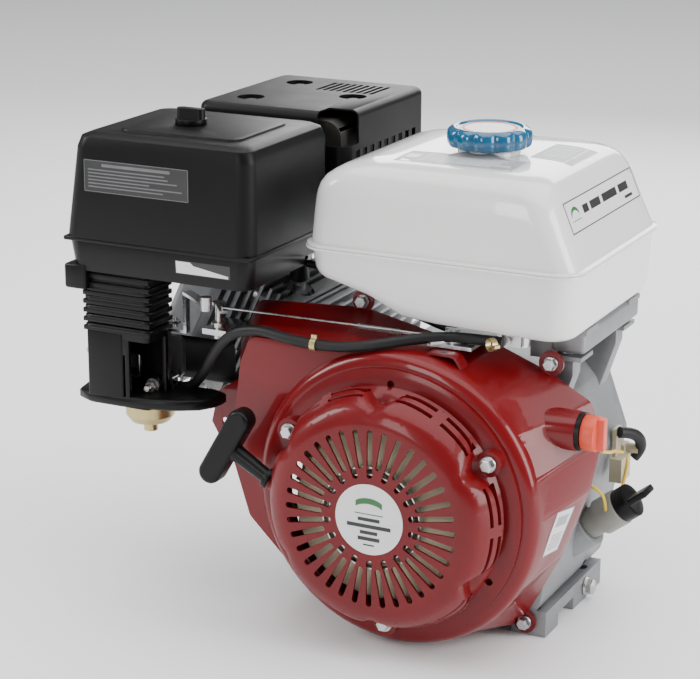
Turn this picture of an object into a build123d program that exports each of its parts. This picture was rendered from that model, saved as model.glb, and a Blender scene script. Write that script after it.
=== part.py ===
from build123d import *
import os
from math import atan2, cos, degrees, pi, radians, sin, sqrt, tan

# Single-cylinder air-cooled petrol engine, 13 hp class.
# Frame: origin at the middle of the four base bolts on the base plane, +Z up,
# +X to the fuel-tank side, +Y to the output shaft. The crankshaft lies along Y.

# ---- driving dimensions (mm) ------------------------------------------------
CRANK_H = 133.0  # crank axis above the base
BORE_R = 44.0
THROW = 32.0  # half the stroke
ROD_LEN = 116.0
CYL_Y = 12.0  # cylinder axis, along the crankshaft
TILT = 25.0  # cylinder above horizontal, leaning to -X
DECK = 180.0  # cylinder deck from the crank axis
BASE_X, BASE_Y = 98.5, 52.5  # half spacings of the base bolts
BASE_R = 5.0
SLOT_HALF = 4.5  # half the travel of the rear base slots
CASE_FRONT, CASE_BACK = -60.0, 86.0
COVER_FACE = 106.0  # rear face of the side cover at the shaft
SHAFT_R, SHAFT_END = 12.7, 194.5
PTO_PCR, PTO_PILOT = 82.55, 73.0
BEARING_R, BEARING_W, JOURNAL_R = 36.0, 17.0, 17.5
CAM_DIST, CAM_PERP = 39.8, 60.0  # cam axis along and across the cylinder axis
GEAR_M = 2.0
SHROUD_BACK, SHROUD_FRONT = -62.0, -137.0
SHEET = 2.5
DISH_R = 130.0
RECOIL_PCR = 106.0
RECOIL_FACE = -182.4
REEL_R = 62.0
AXIS_A = 150.0  # direction of the pull handle in the X-Z plane, degrees
HANDLE = (-146.0, -160.0, 168.0)
TANK_X, TANK_Y = (-101.0, 148.0), (-111.0, 113.0)
TANK_SEAM, TANK_TOP = 338.0, 412.0
CAP = (28.0, -9.0)
BOX_X, BOX_Y = (-302.0, -127.0), (-147.0, 2.5)
BOX_SEAM, BOX_TOP = 331.0, 426.0
KNOB = (-227.0, -75.0)
GUARD_X, GUARD_Y, GUARD_Z = (-275.0, -120.0), (15.0, 185.0), (316.0, 428.0)
CARB = (-276.0, 207.0)  # throat axis, X and Z

os.makedirs("parts", exist_ok=True)
CX, CZ = -cos(radians(TILT)), sin(radians(TILT))  # along the cylinder
LX, LZ = -CZ, CX  # across the cylinder, downwards
CYL = Plane(origin=(0, CYL_Y, CRANK_H), x_dir=(0, 1, 0), z_dir=(CX, 0, CZ))
CAM_X = CX * CAM_DIST + LX * CAM_PERP
CAM_Z = CRANK_H + CZ * CAM_DIST + LZ * CAM_PERP


# ---- helpers ----------------------------------------------------------------
def save(part, name):
    part.label = name
    export_step(part, f"parts/{name}.step")


def save_group(name, *builders):
    """One node from several builders, each solid kept apart."""
    save(Compound([solid for b in builders for solid in b.part.solids()]), name)


def facing(y):
    """Plane at y whose sketch reads X, Z and whose normal is -Y."""
    return Plane(origin=(0, y, 0), x_dir=(1, 0, 0), z_dir=(0, -1, 0))


def block(x, y, z, mode=Mode.ADD):
    with Locations(((x[0] + x[1]) / 2, (y[0] + y[1]) / 2, (z[0] + z[1]) / 2)):
        return Box(x[1] - x[0], y[1] - y[0], z[1] - z[0], mode=mode)


def rod_x(x, y, z, r, mode=Mode.ADD):
    with Locations(((x[0] + x[1]) / 2, y, z)):
        return Cylinder(r, x[1] - x[0], rotation=(0, 90, 0), mode=mode)


def rod_y(x, y, z, r, mode=Mode.ADD):
    with Locations((x, (y[0] + y[1]) / 2, z)):
        return Cylinder(r, y[1] - y[0], rotation=(90, 0, 0), mode=mode)


def rod_z(x, y, z, r, mode=Mode.ADD):
    with Locations((x, y, (z[0] + z[1]) / 2)):
        return Cylinder(r, z[1] - z[0], mode=mode)


def turned(y_r, x=0.0, z=CRANK_H, mode=Mode.ADD):
    """Solid of revolution about the axis along Y at (x, z); y_r lists (y, r)."""
    with BuildSketch(Plane(origin=(x, 0, z), x_dir=(1, 0, 0), z_dir=(0, 0, 1))) as s:
        with BuildLine():
            Polyline(*[(r, y) for y, r in y_r], close=True)
        make_face()
    revolve(s.sketch, axis=Axis((x, 0, z), (0, 1, 0)), mode=mode)


def spun(z_r, x, y, mode=Mode.ADD):
    """Solid of revolution about the upright axis at (x, y); z_r lists (z, r)."""
    with BuildSketch(Plane(origin=(x, y, 0), x_dir=(1, 0, 0), z_dir=(0, -1, 0))) as s:
        with BuildLine():
            Polyline(*[(r, z) for z, r in z_r], close=True)
        make_face()
    revolve(s.sketch, axis=Axis((x, y, 0), (0, 0, 1)), mode=mode)


def gear_points(teeth, tooth_angle, x, z):
    """Corner points of a spur gear with one tooth centred on tooth_angle."""
    rp = GEAR_M * teeth / 2
    pts = []
    for i in range(teeth):
        a = radians(tooth_angle) + 2 * pi * i / teeth
        for r, half in (
            (rp - 1.3 * GEAR_M, -2.05),
            (rp, -1.3),
            (rp + 0.95 * GEAR_M, -0.6),
            (rp + 0.95 * GEAR_M, 0.6),
            (rp, 1.3),
            (rp - 1.3 * GEAR_M, 2.05),
        ):
            b = a + half / rp
            pts.append((x + r * cos(b), z + r * sin(b)))
    return pts


def tube(points, radii, r, name):
    """Round cord along straight runs joined by tangent arcs."""
    with BuildPart() as p:
        with BuildLine() as path:
            FilletPolyline(*points, radius=radii)
        with BuildSketch(Plane(origin=path.line @ 0, z_dir=path.line % 0)):
            Circle(r)
        sweep(path=path.line)
    save(p.part, name)
    return path.line


def bend_radii(points):
    """Tangent-arc radius for each inner corner: 0.45 of the shorter run over tan(half turn)."""
    v = [Vector(*p) for p in points]
    out = []
    for a, b, c in zip(v, v[1:], v[2:]):
        turn = (b - a).get_angle(c - b)
        out.append(0.45 * min((b - a).length, (c - b).length) / tan(radians(turn / 2)))
    return out


def bolt(head, axis, shank, r, af, h, washer=0.0):
    """Flanged hex bolt: head seat at `head`, head out along axis, shank the other way."""
    seat = Plane(origin=head, z_dir=axis)
    with BuildSketch(seat) as hexagon:
        RegularPolygon(af / sqrt(3), 6)
    extrude(hexagon.sketch, amount=h)
    with BuildSketch(seat) as flange:
        Circle(washer or af * 0.5)
    extrude(flange.sketch, amount=h * 0.22)
    with BuildSketch(seat) as rod:
        Circle(r)
    extrude(rod.sketch, amount=-shank)


# ---- crankcase ----------------------------------------------------------------
CASE = [(-130, 20), (104, 20), (111, 60), (126, 150), (106, 204), (84, 228), (-64, 226), (-130, 85)]
ROOM = [(-114, 30), (94, 30), (100, 62), (114, 148), (96, 198), (78, 217), (-57, 217), (-114, 96)]
COVER_BOLTS = [(-122, 78), (-122, 34), (-30, 29), (60, 29), (104, 66), (117, 148), (80, 216), (0, 218),
               (-56, 216)]
ARM_Y = (-35.0, 72.0)
ARM_X, ARM_Z = 115.0, 250.0
FINS = [104 + 9 * i for i in range(9)]
FILLER = Plane(origin=(111, 20, 72), x_dir=(0, 1, 0), z_dir=(0.79, 0, 0.613))

with BuildPart() as crankcase:
    with BuildSketch(facing(CASE_FRONT)) as s:
        with BuildLine():
            Polyline(*CASE, close=True)
        make_face()
        fillet(s.vertices(), 12)
    extrude(amount=-(CASE_BACK - CASE_FRONT))
    turned([(-66, 0), (-66, 44), (-58, 50), (-58, 0)])
    for side in (-1, 1):  # foot rails
        block(sorted((side * 80, side * 112)), (-60, 78), (0, 23))
        block(sorted((side * 70, side * 84)), (-56, 74), (8, 30))
    with Locations(CYL):  # barrel and its fins
        with Locations((0, 0, (90 + DECK) / 2)):
            Cylinder(55, DECK - 90)
        with Locations((0, 62, (90 + DECK) / 2)):
            Box(56, 32, DECK - 90)
        with Locations((0, 6, DECK - 6)):
            Box(112, 124, 12)
    for d in FINS:
        with BuildSketch(CYL.offset(d)):
            with Locations((0, 6)):
                RectangleRounded(128, 132, 14)
        extrude(amount=2.6)
    for y in ARM_Y:  # tank arms
        with BuildSketch(facing(y - 9)):
            with BuildLine():
                Polyline((86, 200), (108, 190), (123, 236), (123, ARM_Z), (107, ARM_Z), close=True)
            make_face()
        extrude(amount=-18)
    with Locations(FILLER):  # boss for the oil filler
        with Locations((0, 0, -4)):
            Cylinder(19, 32)
    # inner room for crank, cam gear and oil
    with BuildSketch(facing(CASE_FRONT + 9)) as s:
        with BuildLine():
            Polyline(*ROOM, close=True)
        make_face()
        fillet(s.vertices(), 10)
    extrude(amount=-(CASE_BACK - CASE_FRONT), mode=Mode.SUBTRACT)
    rod_y(CAM_X, (46, 62), CAM_Z, 52, Mode.SUBTRACT)
    turned([(-52, 0), (-52, 46), (-33, 43), (-33, 0)])
    rod_y(CAM_X, (-52, -40), CAM_Z, 13)
    for x, z in COVER_BOLTS:  # bosses for the side-cover bolts
        rod_y(x, (50, CASE_BACK), z, 7.5)
    with Locations(CYL):
        with Locations((0, 0, 130)):
            Cylinder(BORE_R + 4, 120, mode=Mode.SUBTRACT)
        with Locations((0, 0, 20)):
            Cylinder(60, 130, mode=Mode.SUBTRACT)
        with Locations((0, CAM_PERP + 2, 160)):
            Box(44, 13, 140, mode=Mode.SUBTRACT)
    with Locations(CYL):
        with Locations((0, CAM_PERP, 91.5)):
            Box(46, 22, 9)
        for dx in (-14, 14):
            with Locations((dx, CAM_PERP, 91.5)):
                Cylinder(6.1, 20, mode=Mode.SUBTRACT)
        for sx in (-46, 46):
            for sy in (-44, 56):
                with Locations((sx, sy, DECK)):
                    Cylinder(4.5, 26, mode=Mode.SUBTRACT)
    rod_y(0, (-67, -30), CRANK_H, 26, Mode.SUBTRACT)
    rod_y(0, (-55, -30), CRANK_H, BEARING_R, Mode.SUBTRACT)
    rod_y(CAM_X, (-51, -39), CAM_Z, 8.1, Mode.SUBTRACT)
    for x, z in COVER_BOLTS:
        rod_y(x, (52, CASE_BACK + 1), z, 4.0, Mode.SUBTRACT)
    # base bolts: round at the front, slots along X at the back
    for side in (-1, 1):
        rod_z(side * BASE_X, -BASE_Y, (-1, 30), BASE_R, Mode.SUBTRACT)
        for end in (-1, 1):
            rod_z(side * BASE_X + end * SLOT_HALF, BASE_Y, (-1, 30), BASE_R, Mode.SUBTRACT)
        block((side * BASE_X - SLOT_HALF, side * BASE_X + SLOT_HALF),
              (BASE_Y - BASE_R, BASE_Y + BASE_R), (-1, 30), Mode.SUBTRACT)
        rod_x(sorted((side * 86, side * 116)), 38, 11.5, 6.0, Mode.SUBTRACT)
        block(sorted((side * 113, side * 90)), (-30, 8), (-1, 12), Mode.SUBTRACT)
    for y in ARM_Y:
        rod_z(ARM_X, y, (226, 252), 4.0, Mode.SUBTRACT)
    with Locations(FILLER):
        Cylinder(13.6, 70, mode=Mode.SUBTRACT)
save(crankcase.part, "crankcase")

# ---- side cover on the output side ---------------------------------------------
with BuildPart() as side_cover:
    with BuildSketch(facing(CASE_BACK + 0.0)) as s:
        with BuildLine():
            Polyline(*CASE, close=True)
        make_face()
        fillet(s.vertices(), 12)
    extrude(amount=-10)
    turned([(CASE_BACK + 8, 0), (CASE_BACK + 8, 80), (COVER_FACE - 6, PTO_PILOT), (COVER_FACE, PTO_PILOT),
            (COVER_FACE, 0)])
    turned([(64, 0), (64, 43), (CASE_BACK + 1, 50), (CASE_BACK + 1, 0)])
    rod_y(CAM_X, (70, CASE_BACK + 1), CAM_Z, 13)
    for i in range(4):
        a = radians(45 + 90 * i)
        rod_y(PTO_PCR * cos(a), (CASE_BACK + 8, 104), CRANK_H + PTO_PCR * sin(a), 12)
    for i in range(8):  # ribs from the boss to the rim
        a = radians(22.5 + 45 * i)
        with Locations(Location((88 * cos(a), CASE_BACK + 12, CRANK_H + 88 * sin(a)), (0, -degrees(a), 0))):
            Box(18, 6, 5)
    with BuildSketch(facing(200)) as keep:
        with BuildLine():
            Polyline(*CASE, close=True)
        make_face()
        fillet(keep.vertices(), 12)
    extrude(amount=180, mode=Mode.INTERSECT)
    turned([(60, 0), (60, JOURNAL_R + 9), (68, JOURNAL_R + 9), (68, BEARING_R), (85.2, BEARING_R),
            (85.2, 27), (97.5, 27), (97.5, 26), (107, 26), (107, 0)], mode=Mode.SUBTRACT)
    rod_y(CAM_X, (69, 89), CAM_Z, 8.1, Mode.SUBTRACT)
    turned([(98, 50), (98, 66), (COVER_FACE + 1, 67), (COVER_FACE + 1, 49)], mode=Mode.SUBTRACT)
    for i in range(4):
        a = radians(45 + 90 * i)
        rod_y(PTO_PCR * cos(a), (88, 105), CRANK_H + PTO_PCR * sin(a), 4.0, Mode.SUBTRACT)
    for x, z in COVER_BOLTS:
        rod_y(x, (85, 97), z, 4.3, Mode.SUBTRACT)
        rod_y(x, (95, 97), z, 8.5, Mode.SUBTRACT)
save(side_cover.part, "side_cover")

with BuildPart() as cover_bolts:
    for x, z in COVER_BOLTS:
        bolt((x, 95, z), (0, 1, 0), 40, 3.95, 12, 7, 8)

# ---- bearings and seals ----------------------------------------------------------
BEARINGS = ((-54.5, -54.5 + BEARING_W), (68.0, 68.0 + BEARING_W))
with BuildPart() as bearing_outers:
    for y0, y1 in BEARINGS:
        ym = (y0 + y1) / 2
        turned([(y0, 31), (y0, BEARING_R), (y1, BEARING_R), (y1, 31), (ym + 4, 31), (ym + 3, 32.5),
                (ym - 3, 32.5), (ym - 4, 31)])
save(bearing_outers.part, "bearing_outers")

with BuildPart() as bearing_inners:
    for y0, y1 in BEARINGS:
        ym = (y0 + y1) / 2
        turned([(y0, JOURNAL_R), (y0, 22.5), (ym - 5, 22.5), (ym - 5, 26.0), (ym + 5, 26.0),
                (ym + 5, 22.5), (y1, 22.5), (y1, JOURNAL_R)])
        for i in range(9):
            a = radians(40 * i)
            with Locations((26.8 * cos(a), ym, CRANK_H + 26.8 * sin(a))):
                Sphere(5.5)

with BuildPart() as oil_seals:
    for y0, y1 in ((-65.5, -57.5), (98.0, 105.5)):
        turned([(y0, 18.3), (y0, 26), (y1, 26), (y1, 18.3), (y1 - 2, 18.3), (y1 - 3, 17.55), (y1 - 4, 18.3)])
save(oil_seals.part, "oil_seals")

# ---- crankshaft ------------------------------------------------------------------
PIN_X, PIN_Z = CX * THROW, CRANK_H + CZ * THROW
with BuildPart() as crankshaft:
    turned([(-131, 0), (-131, 7), (-114, 7), (-114, 11), (-112, 11.2), (-72, 15.2), (-66.5, 17.4),
            (-66, JOURNAL_R), (-37, JOURNAL_R), (-37, 23), (-21, 23), (-21, 0)])
    turned([(45, 0), (45, 21), (48, 21), (48, JOURNAL_R), (64, JOURNAL_R), (68, JOURNAL_R),
            (106, JOURNAL_R), (107, SHAFT_R), (SHAFT_END - 1.5, SHAFT_R), (SHAFT_END, SHAFT_R - 1.5),
            (SHAFT_END, 0)])
    for y in (-21, 27):  # webs with counterweights opposite the pin
        with BuildSketch(facing(y)):
            with Locations((0, CRANK_H)):
                Circle(54)
            with Locations((PIN_X, PIN_Z)):
                Circle(24)
            with Locations(Location((CX * 44, CRANK_H + CZ * 44, 0), (0, 0, -TILT))):
                Rectangle(44, 130, mode=Mode.SUBTRACT)
            with Locations(Location((CX * 22, CRANK_H + CZ * 22, 0), (0, 0, -TILT))):
                Rectangle(60, 46)
            with Locations((PIN_X, PIN_Z)):
                Circle(24)
        extrude(amount=-18)
    rod_y(PIN_X, (-4, 28), PIN_Z, 18)
    block((-3.175, 3.175), (112, SHAFT_END - 6), (CRANK_H + SHAFT_R - 3.5, CRANK_H + 20), Mode.SUBTRACT)
    rod_y(0, (SHAFT_END - 28, SHAFT_END + 1), CRANK_H, 4.2, Mode.SUBTRACT)
save(crankshaft.part, "crankshaft")

CAM_DIR = degrees(atan2(CAM_Z - CRANK_H, CAM_X))
with BuildPart() as crank_gear:
    with BuildSketch(facing(48.2)):
        with BuildLine():
            Polyline(*gear_points(24, CAM_DIR, 0, CRANK_H), close=True)
        make_face()
        with Locations((0, CRANK_H)):
            Circle(JOURNAL_R, mode=Mode.SUBTRACT)
    extrude(amount=-11.8)
save_group("crank_fittings", bearing_inners, crank_gear)

with BuildPart() as camshaft:
    with BuildSketch(facing(48.2)):
        with BuildLine():
            Polyline(*gear_points(48, CAM_DIR + 180 + 360 / 96, CAM_X, CAM_Z), close=True)
        make_face()
    extrude(amount=-11.8)
    for i in range(6):
        a = radians(60 * i)
        rod_y(CAM_X + 30 * cos(a), (47, 61), CAM_Z + 30 * sin(a), 7, Mode.SUBTRACT)
    rod_y(CAM_X, (-50.5, 88), CAM_Z, 8)
    rod_y(CAM_X, (38, 49), CAM_Z, 14)
    for y in (CYL_Y - 14, CYL_Y + 14):  # lobes, noses turned away from the followers
        rod_y(CAM_X, (y - 5, y + 5), CAM_Z, 10)
        for k in (0.35, 0.7, 1.0):
            rod_y(CAM_X - CX * 8 * k, (y - 5, y + 5), CAM_Z - CZ * 8 * k, 10 - 4 * k)
save(camshaft.part, "camshaft")

# ---- piston, rod and cylinder ------------------------------------------------------
PIN_D = THROW + ROD_LEN
with BuildPart() as cylinder_liner:
    with BuildSketch(CYL.offset(88)):
        Circle(BORE_R + 4)
        Circle(BORE_R + 0.05, mode=Mode.SUBTRACT)
    extrude(amount=DECK - 88)
save(cylinder_liner.part, "cylinder_liner")

with BuildPart(CYL) as piston:
    with Locations((0, 0, DECK - 29)):
        Cylinder(BORE_R - 0.25, 54)
    with Locations((0, 0, DECK - 34)):
        Cylinder(BORE_R - 4.5, 54, mode=Mode.SUBTRACT)
    with Locations((0, 0, PIN_D)):
        for side in (-1, 1):
            with Locations((side * 29.5, 0, 0)):
                Box(23, 26, 26)
        Cylinder(10.02, 100, rotation=(0, 90, 0), mode=Mode.SUBTRACT)
    for d in (6, 12, 18):
        with BuildSketch(CYL.offset(DECK - d - 2)):
            Circle(BORE_R + 1)
            Circle(BORE_R - 3, mode=Mode.SUBTRACT)
        extrude(amount=1.6, mode=Mode.SUBTRACT)

with BuildPart(CYL) as piston_rings:
    for d in (6, 12, 18):
        with BuildSketch(CYL.offset(DECK - d - 2)):
            Circle(BORE_R)
            Circle(BORE_R - 2.9, mode=Mode.SUBTRACT)
            with Locations((0, BORE_R)):
                Rectangle(0.6, 12, mode=Mode.SUBTRACT)
        extrude(amount=1.55)

with BuildPart(CYL) as piston_pin:
    with Locations((0, 0, PIN_D)):
        Cylinder(10, 76, rotation=(0, 90, 0))
        Cylinder(6, 80, rotation=(0, 90, 0), mode=Mode.SUBTRACT)
save_group("piston", piston, piston_rings, piston_pin)

with BuildPart() as connecting_rod:
    with BuildSketch(Plane(origin=(0, CYL_Y, CRANK_H), x_dir=(CX, 0, CZ), z_dir=(0, -1, 0))):
        with Locations((THROW, 0)):
            Circle(27)
        with Locations((PIN_D, 0)):
            Circle(15)
        with Locations(((THROW + PIN_D) / 2, 0)):
            Rectangle(ROD_LEN - 10, 19)
    extrude(amount=11, both=True)
    with BuildSketch(Plane(origin=(0, CYL_Y, CRANK_H), x_dir=(CX, 0, CZ), z_dir=(0, -1, 0))):
        with Locations((THROW, 0)):
            Circle(18.05)
        with Locations((PIN_D, 0)):
            Circle(10.03)
    extrude(amount=20, both=True, mode=Mode.SUBTRACT)
save(connecting_rod.part, "connecting_rod")

# ---- head, valves and rocker cover ---------------------------------------------------
HEAD0, HEAD1 = DECK + 1.0, 262.0
IN_PORT, EX_PORT = (36.0, 238.0), (4.0, 236.0)
VALVES = ((-17.0, 12.0, 17.0), (17.0, -6.0, 14.5))
HEAD_BOLTS = [(sx * 46, 6 + sy * 50) for sx in (-1, 1) for sy in (-1, 1)]

with BuildPart(CYL) as head_gasket:
    with Locations((0, 6, DECK + 0.5)):
        Box(112, 124, 1)
        Cylinder(4.5, 3, mode=Mode.SUBTRACT)
    with Locations((0, 0, DECK + 0.5)):
        Cylinder(BORE_R + 2, 3, mode=Mode.SUBTRACT)
    with Locations((0, CAM_PERP + 2, DECK + 0.5)):
        Box(42, 10, 3, mode=Mode.SUBTRACT)
    for x, y in HEAD_BOLTS:
        rod_z(x, y, (DECK - 2, DECK + 2), 4.6, Mode.SUBTRACT)

PLUG = Plane(origin=CYL.from_local_coords((-12, -22, 190)),
             z_dir=CYL.from_local_coords((-26, -72, 202)) - CYL.from_local_coords((-12, -22, 190)))
with BuildPart(CYL) as cylinder_head:
    block((-56, 56), (-60, 72), (HEAD0, HEAD0 + 14))
    block((-44, 44), (-46, 58), (HEAD0, HEAD1))
    for z in range(200, 256, 9):
        block((-56, 56), (-60, 72), (z, z + 2.8))
    block((-56, 56), (-54, 70), (HEAD1 - 8, HEAD1))
    block((-56, -30), (12, 60), (IN_PORT[1] - 22, IN_PORT[1] + 20))
    block((30, 56), (-20, 28), (EX_PORT[1] - 24, EX_PORT[1] + 20))
    for x, y in HEAD_BOLTS:
        rod_z(x, y, (HEAD0, HEAD0 + 36), 9)
    rod_x((-57, -10), IN_PORT[0], IN_PORT[1], 14, Mode.SUBTRACT)
    rod_x((10, 57), EX_PORT[0], EX_PORT[1], 14, Mode.SUBTRACT)
    rod_z(0, 0, (HEAD0 - 2, HEAD0 + 8), BORE_R - 4, Mode.SUBTRACT)
    for x, y, r in VALVES:
        rod_z(x, y, (HEAD0, HEAD0 + 11), r + 0.4, Mode.SUBTRACT)
        rod_z(x, y, (HEAD0, IN_PORT[1]), r - 2, Mode.SUBTRACT)
        rod_z(x, y, (HEAD0, HEAD1 + 1), 3.6, Mode.SUBTRACT)
    block((-22, 22), (CAM_PERP - 4, CAM_PERP + 7), (HEAD0 - 1, HEAD1 + 1), Mode.SUBTRACT)
    with BuildSketch(PLUG) as hole:
        Circle(6.05)
    extrude(hole.sketch, amount=60, mode=Mode.SUBTRACT)
    with BuildSketch(PLUG.offset(29.6)) as pocket:
        Circle(14.5)
    extrude(pocket.sketch, amount=50, mode=Mode.SUBTRACT)
    for x, y in HEAD_BOLTS:
        rod_z(x, y, (HEAD0 - 1, HEAD0 + 60), 4.6, Mode.SUBTRACT)
        rod_z(x, y, (HEAD0 + 36, HEAD1 + 1), 9.2, Mode.SUBTRACT)
save(cylinder_head.part, "cylinder_head")

with BuildPart(CYL) as head_bolts:
    for x, y in HEAD_BOLTS:
        rod_z(x, y, (DECK - 11.9, HEAD0 + 36), 4.4)
        with Locations((x, y, HEAD0 + 36 + 4)):
            Cylinder(8, 8)
save_group("case_bolts", cover_bolts, head_bolts)

with BuildPart(CYL) as valves:
    for x, y, r in VALVES:
        rod_z(x, y, (HEAD0 + 8.2, HEAD0 + 10.5), r)
        rod_z(x, y, (HEAD0 + 8.2, 284), 3.5)

with BuildPart(CYL) as valve_springs:
    for x, y, r in VALVES:
        for k in range(5):
            with Locations((x, y, HEAD1 + 1.6 + 3.4 * k)):
                Torus(8.5, 1.5)
        with BuildSketch(CYL.offset(HEAD1 + 0.1)):
            with Locations((x, y)):
                Circle(9.2)
                Circle(7.8, mode=Mode.SUBTRACT)
        extrude(amount=16.2)

with BuildPart(CYL) as spring_retainers:
    for x, y, r in VALVES:
        with BuildSketch(CYL.offset(HEAD1 + 17)):
            with Locations((x, y)):
                Circle(11)
                Circle(3.52, mode=Mode.SUBTRACT)
        extrude(amount=3)

with BuildPart(CYL) as pushrods:
    for x in (-14, 14):
        rod_z(x, CAM_PERP + 1.4, (97.5, 283.5), 3.0)

with BuildPart(CYL) as tappets:
    for x in (-14, 14):
        rod_z(x, CAM_PERP, (52, 54.6), 12)
        rod_z(x, CAM_PERP, (52, 97), 6.0)
save(tappets.part, "tappets")

with BuildPart(CYL) as rocker_arms:
    for (x, y, r), px in zip(VALVES, (-14, 14)):
        with BuildSketch(CYL.offset(284.3)):
            with Locations((x, y)):
                Circle(5.5)
            with Locations((px, CAM_PERP + 1.4)):
                Circle(5.5)
            with Locations(((x + px) / 2, (y + CAM_PERP + 1.4) / 2)):
                Circle(9)
                Rectangle(8, abs(CAM_PERP + 1.4 - y) - 4)
        extrude(amount=5)
        with Locations(((x + px) / 2, (y + CAM_PERP + 1.4) / 2, 277.2)):
            Cylinder(4, 30)
save_group("valve_train", valves, valve_springs, spring_retainers, pushrods, rocker_arms)

COVER_Y = (-42.0, 72.0)
with BuildPart(CYL) as rocker_cover:
    block((-48, 48), COVER_Y, (HEAD1 + 1, 300))
    fillet(rocker_cover.edges().filter_by(lambda e: abs(e.length - 37) < 0.01), 14)
    fillet(rocker_cover.faces().filter_by(lambda f: f.center().X < -255 and f.area > 5000)
           .sort_by(Axis.X)[0].edges(), 8)
    block((-45.5, 45.5), (COVER_Y[0] + 2.5, COVER_Y[1] - 2.5), (HEAD1, 297.5), Mode.SUBTRACT)
    with BuildSketch(CYL.offset(HEAD1 + 1)):
        with Locations((0, 15)):
            RectangleRounded(104, 122, 12)
            RectangleRounded(88, 106, 10, mode=Mode.SUBTRACT)
    extrude(amount=3)
save(rocker_cover.part, "rocker_cover")

with BuildPart() as rocker_gasket:
    with BuildSketch(CYL.offset(HEAD1)):
        with Locations((0, 15)):
            RectangleRounded(104, 122, 12)
            RectangleRounded(86, 104, 10, mode=Mode.SUBTRACT)
    extrude(amount=1)
save_group("gaskets", head_gasket, rocker_gasket)

# ---- ignition -----------------------------------------------------------------------
LEAD = [(-141.2, -19, 297), (-118, -26, 298), (-88, -38, 292), (-50, -47, 281), (-5, -50.5, 268),
        (40, -50.5, 258), (68, -52, 248), (82, -64, 238), (86, -77, 229)]
COIL_A = 46.0
with BuildPart() as spark_plug:
    with BuildSketch(PLUG):
        Circle(6)
    extrude(amount=46)
    with BuildSketch(PLUG.offset(30)):
        RegularPolygon(11.5, 6)
    extrude(amount=9)
    with BuildSketch(PLUG.offset(39)):
        Circle(5.2)
    extrude(amount=12)
save(spark_plug.part, "spark_plug")

with BuildPart() as plug_cap:
    with BuildSketch(PLUG.offset(51.3)):
        Circle(9)
    extrude(amount=22, taper=6)
save(plug_cap.part, "plug_cap")

with BuildPart() as ignition_coil:
    spot = Plane(origin=(111 * cos(radians(COIL_A)), -90, CRANK_H + 111 * sin(radians(COIL_A))),
                 x_dir=(-sin(radians(COIL_A)), 0, cos(radians(COIL_A))), z_dir=(0, -1, 0))
    with BuildSketch(spot):
        Rectangle(46, 18)
        for side in (-1, 1):
            with Locations((side * 19, 0)):
                Rectangle(8, 18)
    extrude(amount=8, both=True)
    with BuildSketch(spot):
        with Locations((0, 0)):
            RectangleRounded(30, 26, 4)
    extrude(amount=12, both=True)
    with BuildSketch(spot):
        with Locations((-19, 2), (19, 2)):
            Circle(5)
    extrude(amount=-29.8)
    turned([(-120, 0), (-120, 100.8), (-60.5, 100.8), (-60.5, 0)], mode=Mode.SUBTRACT)
save(ignition_coil.part, "ignition_coil")

# ---- flywheel, fan and starter cup ------------------------------------------------------
with BuildPart() as flywheel:
    turned([(-112, 11.25), (-112, 60), (-111, 99), (-108, 100), (-76, 100), (-74, 98), (-74, 86),
            (-98, 84), (-102, 78), (-102, 32), (-96, 27), (-72.4, 25), (-72.4, 15.2)])
    for i in range(4):
        a = radians(45 + 90 * i)
        rod_y(54 * cos(a), (-113, -101), CRANK_H + 54 * sin(a), 9, Mode.SUBTRACT)
save(flywheel.part, "flywheel")

with BuildPart() as fan:
    turned([(-113.2, 30), (-113.2, 60.2), (-112.2, 98), (-115, 98), (-117, 60), (-117, 30)])
    for i in range(22):
        a = 360 / 22 * i
        with Locations(Location((0, -121.5, CRANK_H), (0, -a, 0))):
            with Locations(Location((80, 0, 4), (0, 22, 0))):
                Box(36, 13, 2.2)
save(fan.part, "fan")

with BuildPart() as starter_cup:
    turned([(-117.2, 12), (-117.2, 44), (-150, 46), (-150, 43.5), (-119.7, 41.5), (-119.7, 12)])
    for i in range(6):
        a = radians(60 * i)
        rod_y(30 * cos(a), (-121, -116), CRANK_H + 30 * sin(a), 6, Mode.SUBTRACT)

with BuildPart() as flywheel_nut:
    with BuildSketch(facing(-119.8)):
        with Locations((0, CRANK_H)):
            RegularPolygon(15, 6)
    extrude(amount=12)
    rod_y(0, (-133, -112), CRANK_H, 7.1, Mode.SUBTRACT)
save_group("starter_cup", starter_cup, flywheel_nut)

# ---- fan cover ---------------------------------------------------------------------------
SHROUD_REAR = [(89, 8), (126, 81), (149, 144), (158, 190), (147, 222), (106, 244), (64, 260), (8, 262),
               (-62, 277), (-168, 271), (-187, 228), (-189, 160), (-150, 70), (-95, 14)]
SHROUD_NOSE = [(66, 21), (112, 67), (129, 133), (125, 168), (108, 205), (84, 232), (45, 252), (-6, 256),
               (-62, 257), (-142, 257), (-152, 232), (-162, 148), (-144, 92), (-84, 34)]


EARS = [(-64, 283, 10), (111, 251, 11), (94, 13, 10)]
SWITCH = (-87.0, 204.0)  # Y and Z of the switch axis


def cover_shell(inset):
    """Stepped body of the fan cover, inset evenly for the inner surface."""
    with BuildSketch(facing(SHROUD_BACK + (1 if inset else 0))) as rear:
        with BuildLine():
            Polyline(*SHROUD_REAR, close=True)
        make_face()
        fillet(rear.vertices(), 11)
        if inset:
            offset(amount=-inset, kind=Kind.INTERSECTION)
    with BuildSketch(facing(-126 + inset)) as nose:
        with BuildLine():
            Polyline(*SHROUD_NOSE, close=True)
        make_face()
        fillet(nose.vertices(), 11)
        if inset:
            offset(amount=-inset, kind=Kind.INTERSECTION)
    return rear, nose


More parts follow.
